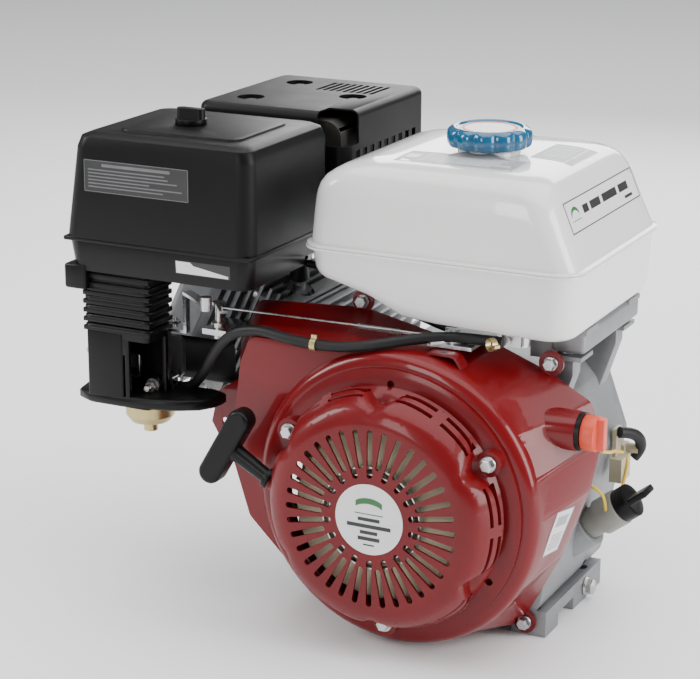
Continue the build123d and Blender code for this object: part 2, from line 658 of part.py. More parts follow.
with BuildPart() as fan_cover:
    rear, nose = cover_shell(0)
    loft([rear.sketch, nose.sketch], ruled=True)
    turned([(SHROUD_BACK, 0), (SHROUD_BACK, DISH_R), (-128, DISH_R), (-133, DISH_R - 2.2),
            (-136, DISH_R - 6), (SHROUD_FRONT, DISH_R - 11), (SHROUD_FRONT, 0)])
    rod_x((112, 147), *SWITCH, 17)
    rear, nose = cover_shell(SHEET)
    loft([rear.sketch, nose.sketch], ruled=True, mode=Mode.SUBTRACT)
    turned([(SHROUD_BACK + 1, 0), (SHROUD_BACK + 1, DISH_R - SHEET), (-127, DISH_R - SHEET),
            (-134.5, DISH_R - 12), (-134.5, 0)], mode=Mode.SUBTRACT)
    rod_x((105, 149), *SWITCH, 8.1, Mode.SUBTRACT)
    rod_y(0, (-140, -120), CRANK_H, 97, Mode.SUBTRACT)
    rod_x((147.05, 165), *SWITCH, 17.2, Mode.SUBTRACT)
    rod_y(EARS[2][0], (-76, -62), EARS[2][1], 7.2, Mode.SUBTRACT)
    for x, z, r in EARS:
        with BuildSketch(facing(SHROUD_BACK + 0.0)):
            with Locations((x, z)):
                Circle(r)
                Circle(3.4, mode=Mode.SUBTRACT)
        extrude(amount=2.5)
    with BuildSketch(facing(-62)):  # tab at the left edge
        with BuildLine():
            Polyline((-172, 118), (-186, 196), (-210, 180), (-217, 150), (-204, 128), close=True)
        make_face()
        with Locations((-203, 152)):
            Circle(3.4, mode=Mode.SUBTRACT)
    extrude(amount=2.5)
    for i in range(3):  # posts for the starter bolts
        a = radians(30 + 120 * i)
        x, z = RECOIL_PCR * cos(a), CRANK_H + RECOIL_PCR * sin(a)
        rod_y(x, (-136, -126), z, 6.5)
        rod_y(x, (-140, -120), z, 3.1, Mode.SUBTRACT)
save(fan_cover.part, "fan_cover")

with BuildPart() as cover_screws:
    for x, z, r in EARS:
        bolt((x, -64.6, z), (0, -1, 0), 2.4, 3.2, 10, 6, 6.4)

# ---- recoil starter -----------------------------------------------------------------------
SLOTS = 36
GX, GZ = cos(radians(AXIS_A)), sin(radians(AXIS_A))


def pull_plane(s):
    """Plane on the pull axis, s inward of the grip centre, facing inward."""
    return Plane(origin=(HANDLE[0] - s * GX, -161, HANDLE[2] - s * GZ), z_dir=(-GX, 0, -GZ))


with BuildPart() as recoil_cover:
    turned([(SHROUD_FRONT, 98), (SHROUD_FRONT, 118), (-140.5, 118), (-142, 112), (-143, 104),
            (-150, 100), (-170, 96), (-177, 93), (-181, 87), (RECOIL_FACE, 81), (RECOIL_FACE, 0),
            (RECOIL_FACE + SHEET, 0), (RECOIL_FACE + SHEET, 80), (-178, 86), (-174, 91), (-168, 93.5),
            (-149, 97), (-141, 99)])
    for i in range(3):  # screw lugs
        a = radians(30 + 120 * i)
        x, z = RECOIL_PCR * cos(a), CRANK_H + RECOIL_PCR * sin(a)
        rod_y(x, (-150, SHROUD_FRONT), z, 11)
    turned([(-155, 0), (-155, 94.5), (SHROUD_FRONT + 1, 96.5), (SHROUD_FRONT + 1, 0)], mode=Mode.SUBTRACT)
    turned([(RECOIL_FACE + 1, 0), (RECOIL_FACE + 1, 12), (-176, 12), (-176, 0)])
    for i in range(3):
        for side in (0, 60):
            a = radians(30 + 120 * i + side)
            x, z = RECOIL_PCR * cos(a), CRANK_H + RECOIL_PCR * sin(a)
            rod_y(x, (-152, SHROUD_FRONT + 1), z, 3.3, Mode.SUBTRACT)
    for i in range(SLOTS):  # ring of radial slots in the face
        a = radians(360 / SLOTS * i)
        inner = 36 if i % 2 else 44
        mid, length = (inner + 78) / 2, 78 - inner
        with BuildSketch(facing(RECOIL_FACE + 5)) as slot:
            with Locations(Location((mid * cos(a), CRANK_H + mid * sin(a), 0), (0, 0, degrees(a)))):
                SlotOverall(length, 5.2)
        extrude(slot.sketch, amount=8, mode=Mode.SUBTRACT)
    for a in (12, 48, 72, 108, 132, 192, 228, 252, 288, 312, 348):  # side slots between the lugs
        for row in range(3):
            with Locations(Location((0, -148 - 8 * row, CRANK_H), (0, -a, 0))):
                with Locations((96, 0, 0)):
                    Box(16, 3.6, 32, mode=Mode.SUBTRACT)
    with BuildSketch(pull_plane(48)) as hole:
        Circle(5.5)
    extrude(hole.sketch, amount=18, mode=Mode.SUBTRACT)

with BuildPart() as recoil_bolts:
    for i in range(3):
        a = radians(30 + 120 * i)
        bolt((RECOIL_PCR * cos(a), -150.1, CRANK_H + RECOIL_PCR * sin(a)), (0, -1, 0), 22, 3.0, 10, 6, 5.7)

with BuildPart() as rope_reel:
    turned([(-175.5, 5), (-175.5, 14), (-171, 14), (-171, 72), (-169, 74), (-167, 66), (-165.5, 55),
            (-156.5, 55), (-155, 66), (-153.2, 74), (-151.6, 72), (-151.6, 40), (-156, 38), (-156, 5)])
    for i in range(6):
        a = radians(60 * i)
        rod_y(30 * cos(a), (-172, -160), CRANK_H + 30 * sin(a), 8, Mode.SUBTRACT)
save(rope_reel.part, "rope_reel")

with BuildPart() as reel_screw:
    rod_y(0, (-176, -154), CRANK_H, 4.9)
    turned([(-155.9, 0), (-155.9, 11), (-152, 11), (-151, 9), (-151, 0)])

with BuildPart() as rewind_spring:
    for k in range(5):
        turned([(-179.5, 20 + 6 * k), (-179.5, 21 + 6 * k), (-173, 21 + 6 * k), (-173, 20 + 6 * k)])
    block((19, 46), (-179.5, -173), (CRANK_H - 0.4, CRANK_H + 0.4))
save(rewind_spring.part, "rewind_spring")

with BuildPart() as rope_guide:
    for start, length, r in ((50.5, 4.0, 7.0), (54.4, 6.0, 5.3)):
        with BuildSketch(pull_plane(start)):
            Circle(r)
            Circle(3.2, mode=Mode.SUBTRACT)
        extrude(amount=length)
save_group("recoil_cover", recoil_cover, rope_guide)

with BuildPart() as pull_rope:
    turned([(-165, 56), (-165, 62.5), (-157, 62.5), (-157, 56)])
    with BuildLine() as run:
        FilletPolyline((-44, -161, 91), tuple(pull_plane(63.3).origin), tuple(pull_plane(6).origin),
                       radius=26)
    with BuildSketch(Plane(origin=run.line @ 0, z_dir=run.line % 0)):
        Circle(2.4)
    sweep(path=run.line)
save(pull_rope.part, "pull_rope")

with BuildPart() as pull_handle:
    grip = Plane(origin=(HANDLE[0], -161, HANDLE[2]), x_dir=(-GZ, 0, GX), z_dir=(0, -1, 0))
    with BuildSketch(grip):
        SlotOverall(78, 21)
    extrude(amount=9.5, both=True)
    fillet(pull_handle.edges().filter_by(GeomType.LINE), 4)
    with BuildSketch(pull_plane(0)):
        Circle(8)
    extrude(amount=45, taper=2)
    with BuildSketch(pull_plane(44)):
        Circle(9.5)
    extrude(amount=5)
    with BuildSketch(pull_plane(5.9)):
        Circle(2.6)
    extrude(amount=60, mode=Mode.SUBTRACT)
save(pull_handle.part, "pull_handle")

# ---- fuel tank ------------------------------------------------------------------------------
def rect_face(x, y, z, r):
    with BuildSketch(Plane.XY.offset(z)) as s:
        with Locations(((x[0] + x[1]) / 2, (y[0] + y[1]) / 2)):
            RectangleRounded(x[1] - x[0], y[1] - y[0], r)
    return s.sketch


def tank_body(g):
    """Tank volume inset by g: stepped underside and drafted upper half."""
    with BuildSketch(facing(-107 + g)) as s:
        with BuildLine():
            Polyline((-96 + g, 341), (-92 + g, 313 + g), (-80, 309 + g), (-47, 303 + g), (-8, 283 + g),
                     (128, 279 + g), (138 - g, 292), (143 - g, 341), close=True)
        make_face()
        fillet(s.vertices().group_by(Axis.Y)[0:5][0] + s.vertices().group_by(Axis.Y)[1], 5)
    extrude(s.sketch, amount=-(216 - 2 * g), mode=Mode.ADD if not g else Mode.SUBTRACT)
    steps = [((-97, 144), (-107, 109), 338, 26), ((-93, 121), (-104, 107), 391, 24),
             ((-84, 118), (-101, 105), 403, 22), ((-59, 110), (-94, 99), TANK_TOP, 20)]
    for (x0, y0, z0, r0), (x1, y1, z1, r1) in zip(steps, steps[1:]):
        a = rect_face((x0[0] + g, x0[1] - g), (y0[0] + g, y0[1] - g), z0 - (g + 0.5 if g else 0), r0)
        b = rect_face((x1[0] + g, x1[1] - g), (y1[0] + g, y1[1] - g), z1 - g, r1)
        loft([a, b], ruled=True, mode=Mode.ADD if not g else Mode.SUBTRACT)


with BuildPart() as fuel_tank:
    tank_body(0)
    with BuildSketch(Plane.XY.offset(TANK_SEAM - 2)):
        with Locations(((TANK_X[0] + TANK_X[1]) / 2, (TANK_Y[0] + TANK_Y[1]) / 2)):
            RectangleRounded(TANK_X[1] - TANK_X[0], TANK_Y[1] - TANK_Y[0], 28)
    extrude(amount=4)
    rod_z(CAP[0], CAP[1], (TANK_TOP - 2, 417), 27)
    tank_body(2.0)
    rod_z(CAP[0], CAP[1], (400, 418), 24, Mode.SUBTRACT)
    rod_z(86, -72, (270, 290), 4.5, Mode.SUBTRACT)
save(fuel_tank.part, "fuel_tank")

with BuildPart() as fuel_cap:
    with BuildSketch(Plane.XY.offset(419)):
        with Locations(CAP):
            Circle(34)
            with PolarLocations(32, 12):
                Circle(5.2)
    extrude(amount=13)
    fillet(fuel_cap.faces().sort_by(Axis.Z)[-1].edges(), 2)
    rod_z(CAP[0], CAP[1], (431, 436), 27)
    rod_z(CAP[0], CAP[1], (402, 419), 21)
    rod_z(CAP[0], CAP[1], (401, 417), 19, Mode.SUBTRACT)
    block((CAP[0] - 22.5, CAP[0] - 18), (CAP[1] - 6, CAP[1] + 6), (405, 409))
    block((CAP[0] + 18, CAP[0] + 22.5), (CAP[1] - 6, CAP[1] + 6), (405, 409))

with BuildPart() as cap_seal:
    with BuildSketch(Plane.XY.offset(417.2)):
        with Locations(CAP):
            Circle(27)
            Circle(21.2, mode=Mode.SUBTRACT)
    extrude(amount=1.6)
save_group("fuel_cap", fuel_cap, cap_seal)

with BuildPart() as tank_brackets:
    for y in ARM_Y:
        block((98, 132), (y - 14, y + 14), (ARM_Z + 0.2, ARM_Z + 4))
        block((86, 101), (y - 14, y + 14), (ARM_Z + 0.2, 278.5))
        block((86, 136), (y - 14, y + 14), (274.5, 278.6))
    with BuildSketch(facing(ARM_Y[0] - 14)):
        with BuildLine():
            Polyline((98, ARM_Z), (136, 274.5), (136, 278.5), (98, 278.5), close=True)
        make_face()
    extrude(amount=-3)
    for y in ARM_Y:
        rod_z(ARM_X, y, (ARM_Z, ARM_Z + 5), 4.2, Mode.SUBTRACT)
save(tank_brackets.part, "tank_brackets")

with BuildPart() as tank_bolts:
    for y in ARM_Y:
        bolt((ARM_X, y, ARM_Z + 4.1), (0, 0, 1), 22, 3.9, 12, 7, 8.5)
        rod_z(ARM_X, y, (ARM_Z - 24, ARM_Z - 17), 3.9)

# ---- air cleaner -----------------------------------------------------------------------------
BX, BY = (BOX_X[0] + BOX_X[1]) / 2, (BOX_Y[0] + BOX_Y[1]) / 2
INLET = (-268.0, -119.0)
with BuildPart() as air_base:
    loft([rect_face((-312, -134), (-144, 0), 301, 14), rect_face((-316, -131), (-146, 1.5), 330.5, 14)],
         ruled=True)
    block((-318, -304), (-140, -100), (283, 302))
    loft([rect_face((-309, -137), (-141, -3), 304, 12), rect_face((-313, -134), (-143, -1.5), 331, 12)],
         ruled=True, mode=Mode.SUBTRACT)
    block((-326, -120), (-40, 10), (290, 309), Mode.SUBTRACT)
    block((-311, -136), (-42, -3), (309, 312))
    block((-311, -136), (-42, -39), (302, 312))
    rod_z(INLET[0], INLET[1], (302, 318), 17)
    rod_z(INLET[0], INLET[1], (280, 320), 14.5, Mode.SUBTRACT)
    rod_z(KNOB[0], KNOB[1], (302, 424), 3.0)
save(air_base.part, "air_base")

with BuildPart() as air_filter:
    with BuildSketch(Plane.XY.offset(332)):
        with Locations((-240, -80)):
            RectangleRounded(120, 108, 30)
            RectangleRounded(88, 76, 16, mode=Mode.SUBTRACT)
    extrude(amount=72)
save(air_filter.part, "air_filter")

with BuildPart() as air_cover:
    box = [rect_face((-317, -129.5), (-148, 2.5), BOX_SEAM + 0.2, 15),
           rect_face((-304, -129), (-147.5, 1), 412, 13),
           rect_face((-301, -132), (-145, -2), 421, 13),
           rect_face((-294, -138), (-139, -8), 424, 12)]
    for a, b in zip(box, box[1:]):
        loft([a, b], ruled=True)
    with BuildSketch(Plane.XY.offset(423.9)):
        with Locations((-214, -75)):
            RectangleRounded(120, 96, 12)
    extrude(amount=2.1, taper=20)
    loft([rect_face((-314.5, -132), (-145.5, 0), BOX_SEAM - 1, 13),
          rect_face((-299.5, -135), (-142, -5), 420, 11)], ruled=True, mode=Mode.SUBTRACT)
    rod_z(KNOB[0], KNOB[1], (410, 430), 3.6, Mode.SUBTRACT)
save(air_cover.part, "air_cover")

with BuildPart() as air_knob:
    rod_z(KNOB[0], KNOB[1], (426.3, 431), 14)
    with BuildSketch(Plane.XY.offset(430)):
        with Locations(KNOB):
            SlotOverall(27, 9)
    extrude(amount=10)
    rod_z(KNOB[0], KNOB[1], (420, 427), 3.06, Mode.SUBTRACT)
save(air_knob.part, "air_knob")

# ---- intake elbow and carburettor ---------------------------------------------------------------
STUDS = ((-308.5, 221.0), (-249.0, 193.0))
with BuildPart() as intake_elbow:
    block((-300, -237), (-138, -101), (172, 300.8))
    fillet(intake_elbow.edges().filter_by(Axis.Z), 6)
    block((-325, -207), (-112, -101), (166, 176))
    with BuildSketch(facing(-101)):
        with BuildLine():
            Polyline((-316, 208), (-309, 233), (-240, 214), (-238, 184), (-262, 178), close=True)
        make_face()
    extrude(amount=9)
    for z in range(246, 296, 8):
        block((-302.5, -234.5), (-140.5, -101), (z, z + 4))
    block((-296, -241), (-134, -105), (184, 302), Mode.SUBTRACT)
    block((-288, -262), (-142, -130), (186, 226), Mode.SUBTRACT)
    block((-258, -230), (-142, -110), (180, 240), Mode.SUBTRACT)
    rod_y(CARB[0], (-110, -100), CARB[1], 13, Mode.SUBTRACT)
    for x, z in STUDS:
        rod_y(x, (-140, -100), z, 3.2, Mode.SUBTRACT)
save(intake_elbow.part, "intake_elbow")

with BuildPart() as carb_studs:
    for x, z in STUDS:
        rod_y(x, (-124, -66), z, 3.0)
        with BuildSketch(facing(-112.2 if x < -280 else -112.2)):
            with Locations((x, z)):
                RegularPolygon(6.6, 6)
        extrude(amount=7)

with BuildPart() as carburettor:
    rod_y(CARB[0], (-100.8, -62), CARB[1], 20)
    with BuildSketch(facing(-92)):
        with Locations((CARB[0] + 1, CARB[1])):
            RectangleRounded(62, 34, 8)
        with Locations(*STUDS):
            Circle(8)
    extrude(amount=8.8)
    with BuildSketch(facing(-62)):
        with Locations((CARB[0] + 1, CARB[1])):
            RectangleRounded(60, 40, 8)
    extrude(amount=6)
    block((-292, -258), (-86, -66), (184, 232))
    block((-300, -253.4), (-100, -62.3), (181, 190))
    rod_z(-276, -71, (222, 240), 5)
    rod_z(-276, -92, (222, 240), 5)
    rod_y(CARB[0], (-102, -60), CARB[1], 12.5, Mode.SUBTRACT)
    for x, z in STUDS:
        rod_y(x, (-104, -64), z, 3.15, Mode.SUBTRACT)
    rod_z(-276, -92.0, (190, 250), 2.06, Mode.SUBTRACT)
    rod_z(-276, -71.0, (190, 250), 2.06, Mode.SUBTRACT)
save(carburettor.part, "carburettor")

with BuildPart() as float_bowl:
    spun([(180.8, 0), (180.8, 25.5), (177, 25.5), (174, 24), (152, 22.5), (146, 18), (143, 10), (143, 0)],
         -276, -75)
    rod_z(-276, -75, (136, 144), 6.5)
save(float_bowl.part, "float_bowl")

with BuildPart() as choke:
    rod_z(-276, -92, (192, 242), 2.0)
    block((-284.5, -267.5), (-92.8, -91.2), (CARB[1] - 7, CARB[1] + 7))
    rod_z(-276, -92, (240.3, 242.8), 6)
    block((-272, -224), (-95.5, -88.5), (240.3, 242.8))
    block((-227, -224), (-95.5, -88.5), (240.3, 278))
    with BuildSketch(Plane.XY.offset(276)):
        with BuildLine():
            Polyline((-227, -95.5), (-192, -122), (-187, -114), (-224, -86.5), close=True)
        make_face()
    extrude(amount=2.6)
    rod_z(-190, -118, (272, 284), 5)
save(choke.part, "choke")

with BuildPart() as throttle:
    rod_z(-276, -71, (192, 242), 2.0)
    block((-284.5, -267.5), (-71.7, -70.3), (CARB[1] - 7, CARB[1] + 7))
    rod_z(-276, -71, (240.3, 242.3), 6)
    block((-276, -246), (-74, -68), (240.3, 242.3))
    rod_z(-250, -71, (236, 246), 2)
save(throttle.part, "throttle")

IN_X = CX * IN_PORT[1] + LX * IN_PORT[0]
IN_Z = CRANK_H + CZ * IN_PORT[1] + LZ * IN_PORT[0]
EX_X = CX * EX_PORT[1] + LX * EX_PORT[0]
EX_Z = CRANK_H + CZ * EX_PORT[1] + LZ * EX_PORT[0]
with BuildPart() as intake_pipe:
    with BuildSketch(facing(-61.8)) as a:
        with Locations((CARB[0] + 1, CARB[1])):
            RectangleRounded(60, 40, 8)
    with BuildSketch(facing(-44.2)) as b:
        with Locations((IN_X, IN_Z)):
            RectangleRounded(56, 40, 8)
    loft([a.sketch, b.sketch], ruled=True)
    with BuildSketch(facing(-62)) as a:
        with Locations((CARB[0], CARB[1])):
            Circle(12.5)
    with BuildSketch(facing(-44)) as b:
        with Locations((IN_X, IN_Z)):
            Circle(13.5)
    loft([a.sketch, b.sketch], ruled=True, mode=Mode.SUBTRACT)
save(intake_pipe.part, "intake_pipe")

# ---- muffler and its guard -------------------------------------------------------------------------
with BuildPart() as exhaust_pipe:
    with BuildLine() as route:
        FilletPolyline((EX_X, 68.2, EX_Z), (EX_X, 100, EX_Z), (EX_X, 100, 323), radius=24)
    with BuildSketch(Plane(origin=route.line @ 0, z_dir=route.line % 0)):
        Circle(15)
        Circle(13, mode=Mode.SUBTRACT)
    sweep(path=route.line)
    with BuildSketch(facing(74)):
        with Locations((EX_X, EX_Z)):
            SlotOverall(66, 34)
            Circle(13, mode=Mode.SUBTRACT)
            with Locations((-24, 0), (24, 0)):
                Circle(4.2, mode=Mode.SUBTRACT)
    extrude(amount=5.8)

with BuildPart() as exhaust_nuts:
    for side in (-1, 1):
        with BuildSketch(facing(74.2)):
            with Locations((EX_X + side * 24, EX_Z)):
                RegularPolygon(7, 6)
        extrude(amount=-7)
        rod_y(EX_X + side * 24, (69, 86), EX_Z, 3.9)

MUF_X, MUF_Y, MUF_Z = (-264.0, -132.0), (28.0, 172.0), (323.2, 418.0)
with BuildPart() as muffler:
    block(MUF_X, MUF_Y, MUF_Z)
    fillet(muffler.edges().filter_by(Axis.Y), 16)
    block((MUF_X[0] + 1.5, MUF_X[1] - 1.5), (MUF_Y[0] + 1.5, MUF_Y[1] - 1.5), (MUF_Z[0] + 6, MUF_Z[1] - 6),
          Mode.SUBTRACT)
    block((MUF_X[0] - 2.5, MUF_X[1] + 2.5), (98, 101), (MUF_Z[0] + 20, MUF_Z[1] - 20))
    block((MUF_X[0] + 1.5, MUF_X[1] - 1.5), (MUF_Y[0] + 1.5, MUF_Y[1] - 1.5), (MUF_Z[0] + 6, MUF_Z[1] - 6),
          Mode.SUBTRACT)
    rod_z(EX_X, 100, (MUF_Z[0] - 1, MUF_Z[0] + 8), 13, Mode.SUBTRACT)
    rod_y(-160, (MUF_Y[1] - 2, 190), 384, 12)
    rod_y(-160, (MUF_Y[1] - 4, 191), 384, 10.5, Mode.SUBTRACT)
save(muffler.part, "muffler")

DIMPLES = ((-240, 56), (-156, 100), (-236, 146))
with BuildPart() as guard_room:
    block((GUARD_X[0] + 1.5, GUARD_X[1] - 1.5), (GUARD_Y[0] + 1.5, GUARD_Y[1] - 1.5), (300, GUARD_Z[1] - 1.5))
    fillet(guard_room.edges().filter_by(Axis.Z), 10.5)
    fillet(guard_room.faces().sort_by(Axis.Z)[-1].edges(), 5.5)

with BuildPart() as muffler_guard:
    block(GUARD_X, GUARD_Y, GUARD_Z)
    fillet(muffler_guard.edges().filter_by(Axis.Z), 12)
    fillet(muffler_guard.faces().sort_by(Axis.Z)[-1].edges(), 7)
    add(guard_room.part, mode=Mode.SUBTRACT)
    for x, y in DIMPLES:
        rod_z(x, y, (418.2, GUARD_Z[1]), 14.5)
        rod_z(x, y, (421, 428.5), 13, Mode.SUBTRACT)
        rod_z(x, y, (417, 422), 3.2, Mode.SUBTRACT)
    for i in range(9):  # vents
        block((-205 + 7 * i, -201 + 7 * i), (118, 160), (424, 430), Mode.SUBTRACT)
        block((-122, -118), (34 + 15 * i, 42 + 15 * i), (338, 392), Mode.SUBTRACT)
        block((-277, -272), (34 + 15 * i, 42 + 15 * i), (338, 392), Mode.SUBTRACT)
    rod_y(-160, (180, 187), 384, 15, Mode.SUBTRACT)
    block((-150, -118), (13, 40), (398, 430), Mode.SUBTRACT)
save(muffler_guard.part, "muffler_guard")

with BuildPart() as guard_screws:
    for x, y in DIMPLES:
        bolt((x, y, 421.1), (0, 0, 1), 3, 3.0, 10, 4.5, 6.5)

with BuildPart() as muffler_bracket:
    block((-222, -206), (48, 60), (309.5, 323))
    block((-222, -206), (16.8, 60), (319.5, 323))
    block((-222, -206), (16.8, 20), (319.5, 332))
save_group("exhaust_pipe", exhaust_pipe, muffler_bracket)

# ---- governor, controls and fuel line -----------------------------------------------------------------
PIVOT = (36.0, -92.0)
VALVE = (86.0, -72.0)
GOV = (-200.0, -78.0)
with BuildPart() as control_bracket:
    block((12, 60), (-60, -56.5), (240, 268))
    block((16, 56), (-106, -56.5), (265, 268))
    rod_z(*PIVOT, (267, 273), 4)

with BuildPart() as speed_lever:
    with BuildSketch(Plane.XY.offset(268.2)):
        with Locations(PIVOT):
            Circle(10)
        with Locations((PIVOT[0] - 8, PIVOT[1] - 9)):
            Rectangle(26, 9, rotation=48)
    extrude(amount=2.2)
    rod_z(*PIVOT, (266, 271), 4.06, Mode.SUBTRACT)
save(speed_lever.part, "speed_lever")

with BuildPart() as speed_nut:
    with BuildSketch(Plane.XY.offset(270.8)):
        with Locations(PIVOT):
            RegularPolygon(7.5, 6)
            Circle(4.0, mode=Mode.SUBTRACT)
    extrude(amount=4)

with BuildPart() as governor_post:
    block((-212, -188), (-88, -48), (240, 245))
    block((-212, -188), (-52, -48), (236, 245))
    rod_z(*GOV, (236, 250), 7)
    rod_z(*GOV, (234, 252), 3.56, Mode.SUBTRACT)

save_group("control_bracket", control_bracket, governor_post)

with BuildPart() as governor_arm:
    rod_z(*GOV, (237, 268), 3.5)
    with BuildSketch(Plane.XY.offset(266)):
        with Locations(GOV):
            Circle(6)
        with Locations((GOV[0] + 8, GOV[1] - 11)):
            Rectangle(34, 7, rotation=-52)
    extrude(amount=2.4)
save(governor_arm.part, "governor_arm")

tube([(-184, -100, 270.2), (-110, -102, 271.2), (16, -105, 273.5), (21, -105, 271.6)], [120, 2.5], 1.1,
     "governor_rod")
tube([(-187, -97, 270.2), (-110, -98, 270.6), (22, -101, 271.2)], [120], 0.7, "governor_spring")

HOSE = [(-251.7, -82, 185.4), (-228, -88, 185.4), (-205, -102, 204), (-182, -118, 236), (-160, -124, 258),
        (-132, -127, 265), (-104, -132.5, 262), (-74, -132.5, 260), (-44, -132.5, 262), (-16, -131, 266.5),
        (16, -129, 271), (46, -122, 273), (70, -108, 272.6), (VALVE[0] - 7.4, VALVE[1] - 20.8, 272.6)]
hose_path = tube(HOSE, bend_radii(HOSE), 4.5, "fuel_hose")

with BuildPart() as hose_clips:
    for at in (0.04, 0.56, 0.97):
        spot = Plane(origin=hose_path @ at, z_dir=hose_path % at)
        with BuildSketch(spot):
            Circle(5.6)
            with Locations((6.5, 0)):
                Rectangle(4, 2.4)
            Circle(4.7, mode=Mode.SUBTRACT)
        extrude(amount=2.5, both=True)
save(hose_clips.part, "hose_clips")

# ---- fuel valve under the tank -------------------------------------------------------------
with BuildPart() as fuel_valve:
    rod_z(*VALVE, (266, 279.4), 9)
    block((VALVE[0] - 11, VALVE[0] + 6), (VALVE[1] - 14, VALVE[1]), (268, 278))
    rod_y(VALVE[0] - 6, (VALVE[1] - 18.2, VALVE[1] - 12), 272.6, 4.2)
    rod_z(*VALVE, (278, 286), 4.4)
save(fuel_valve.part, "fuel_valve")

# ---- oil filler, drains, switch and oil alert -----------------------------------------------
with BuildPart() as oil_filler:
    with BuildSketch(FILLER.offset(-8)):
        Circle(13.4)
        Circle(10.5, mode=Mode.SUBTRACT)
    extrude(amount=56)
    with BuildSketch(FILLER.offset(26)):
        Circle(16.5)
        Circle(10.5, mode=Mode.SUBTRACT)
    extrude(amount=22)
save(oil_filler.part, "oil_filler")

with BuildPart() as dipstick:
    with BuildSketch(FILLER.offset(48.4)):
        Circle(15.5)
    extrude(amount=13)
    with BuildSketch(FILLER.offset(61)):
        RectangleRounded(24, 6, 2)
    extrude(amount=18)
    with BuildSketch(FILLER.offset(48.4)):
        Circle(10.2)
    extrude(amount=-14)
    with BuildSketch(FILLER.offset(40)):
        Circle(2.2)
    extrude(amount=-44)
save(dipstick.part, "dipstick")

with BuildPart() as drain_bolts:
    for side in (-1, 1):
        bolt((side * 112.1, 38, 11.5), (side, 0, 0), 14, 5.9, 13, 8, 8.2)

with BuildPart() as engine_switch:
    rod_x((147.1, 151), *SWITCH, 16.5)
    rod_x((122, 148), *SWITCH, 7.9)
    rod_x((150, 157.9), *SWITCH, 5.0)
save(engine_switch.part, "engine_switch")

with BuildPart() as switch_knob:
    rod_x((151.3, 163), *SWITCH, 15)
    block((162, 169), (SWITCH[0] - 4.5, SWITCH[0] + 4.5), (SWITCH[1] - 13.5, SWITCH[1] + 13.5))
    rod_x((150, 158), *SWITCH, 5.06, Mode.SUBTRACT)
save(switch_knob.part, "switch_knob")

with BuildPart() as oil_alert:
    block((127.6, 139), (46, 70), (112, 134))
    block((127.6, 131), (52, 66), (134, 160))
    block((126, 128), (54, 64), (146, 158))
    rod_x((131, 145), 76, 136, 5)
    block((127.6, 134), (66, 80), (131, 141))
save(oil_alert.part, "oil_alert")

tube([(150, -62, 186), (158, -36, 158), (150, 0, 128), (139, 30, 118), (139.5, 45.7, 120)],
     [14, 20, 12], 1.6, "switch_wire")
tube(LEAD, bend_radii(LEAD), 3.4, "ht_lead")
save_group("small_bolts", cover_screws, recoil_bolts, reel_screw, tank_bolts, carb_studs, exhaust_nuts,
           guard_screws, speed_nut, drain_bolts)
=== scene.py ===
import bpy, bmesh, math, random
from mathutils import Matrix, Vector
from mathutils.bvhtree import BVHTree


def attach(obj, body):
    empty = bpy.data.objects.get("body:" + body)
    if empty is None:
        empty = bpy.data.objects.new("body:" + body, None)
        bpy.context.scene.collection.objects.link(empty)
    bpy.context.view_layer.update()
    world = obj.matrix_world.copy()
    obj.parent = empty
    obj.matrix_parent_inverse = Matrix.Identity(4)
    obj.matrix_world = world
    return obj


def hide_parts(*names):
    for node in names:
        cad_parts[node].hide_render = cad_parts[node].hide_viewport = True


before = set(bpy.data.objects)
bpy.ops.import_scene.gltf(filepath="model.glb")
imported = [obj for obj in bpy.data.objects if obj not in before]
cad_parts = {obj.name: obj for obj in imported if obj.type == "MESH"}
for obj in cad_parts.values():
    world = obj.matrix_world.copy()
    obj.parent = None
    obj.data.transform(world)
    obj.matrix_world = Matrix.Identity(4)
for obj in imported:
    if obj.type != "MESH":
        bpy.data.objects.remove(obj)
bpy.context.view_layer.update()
MM = 0.001
CRANK_Z = 133  # height of the crankshaft, mm
FILLER = (28, -9)  # centre of the tank's neck and cap, mm
WELD = 0.00002  # merge distance for the loose CAD triangles, m

KINDS = {"f": "NodeSocketFloat", "c": "NodeSocketColor", "v": "NodeSocketVector"}


class Tree:
    """Short way to add and join nodes in one node tree."""

    def __init__(self, tree):
        self.tree = tree

    def add(self, kind, links=None, **props):
        n = self.tree.nodes.new(kind)
        for k, v in props.items():
            setattr(n, k, v)
        for key, value in (links or {}).items():
            socket = n.inputs[key]
            if isinstance(value, bpy.types.NodeSocket):
                self.tree.links.new(value, socket)
            else:
                socket.default_value = value
        return n

    def math(self, op, a, b=0.0, clamp=False):
        return self.add("ShaderNodeMath", {0: a, 1: b}, operation=op, use_clamp=clamp).outputs[0]


# ---- camera and studio ----------------------------------------------------------------
def aim_camera():
    """Camera from azimuth, elevation and roll in degrees."""
    az, el, roll = (math.radians(v) for v in (26.379, 16.649, 0.194))
    back = Vector((math.sin(az) * math.cos(el), -math.cos(az) * math.cos(el), math.sin(el)))
    right = Vector((math.cos(az), math.sin(az), 0))
    up = back.cross(right)
    r2 = right * math.cos(roll) + up * math.sin(roll)
    u2 = up * math.cos(roll) - right * math.sin(roll)
    cam = bpy.data.objects.new("camera", bpy.data.cameras.new("camera"))
    bpy.context.collection.objects.link(cam)
    m = Matrix((r2, u2, back)).transposed().to_4x4()
    m.translation = Vector((0.7159, -1.6622, 0.7799))
    cam.matrix_world = m
    cam.data.lens, cam.data.sensor_width = 109.63, 36.0
    cam.data.clip_end = 20
    bpy.context.scene.camera = cam


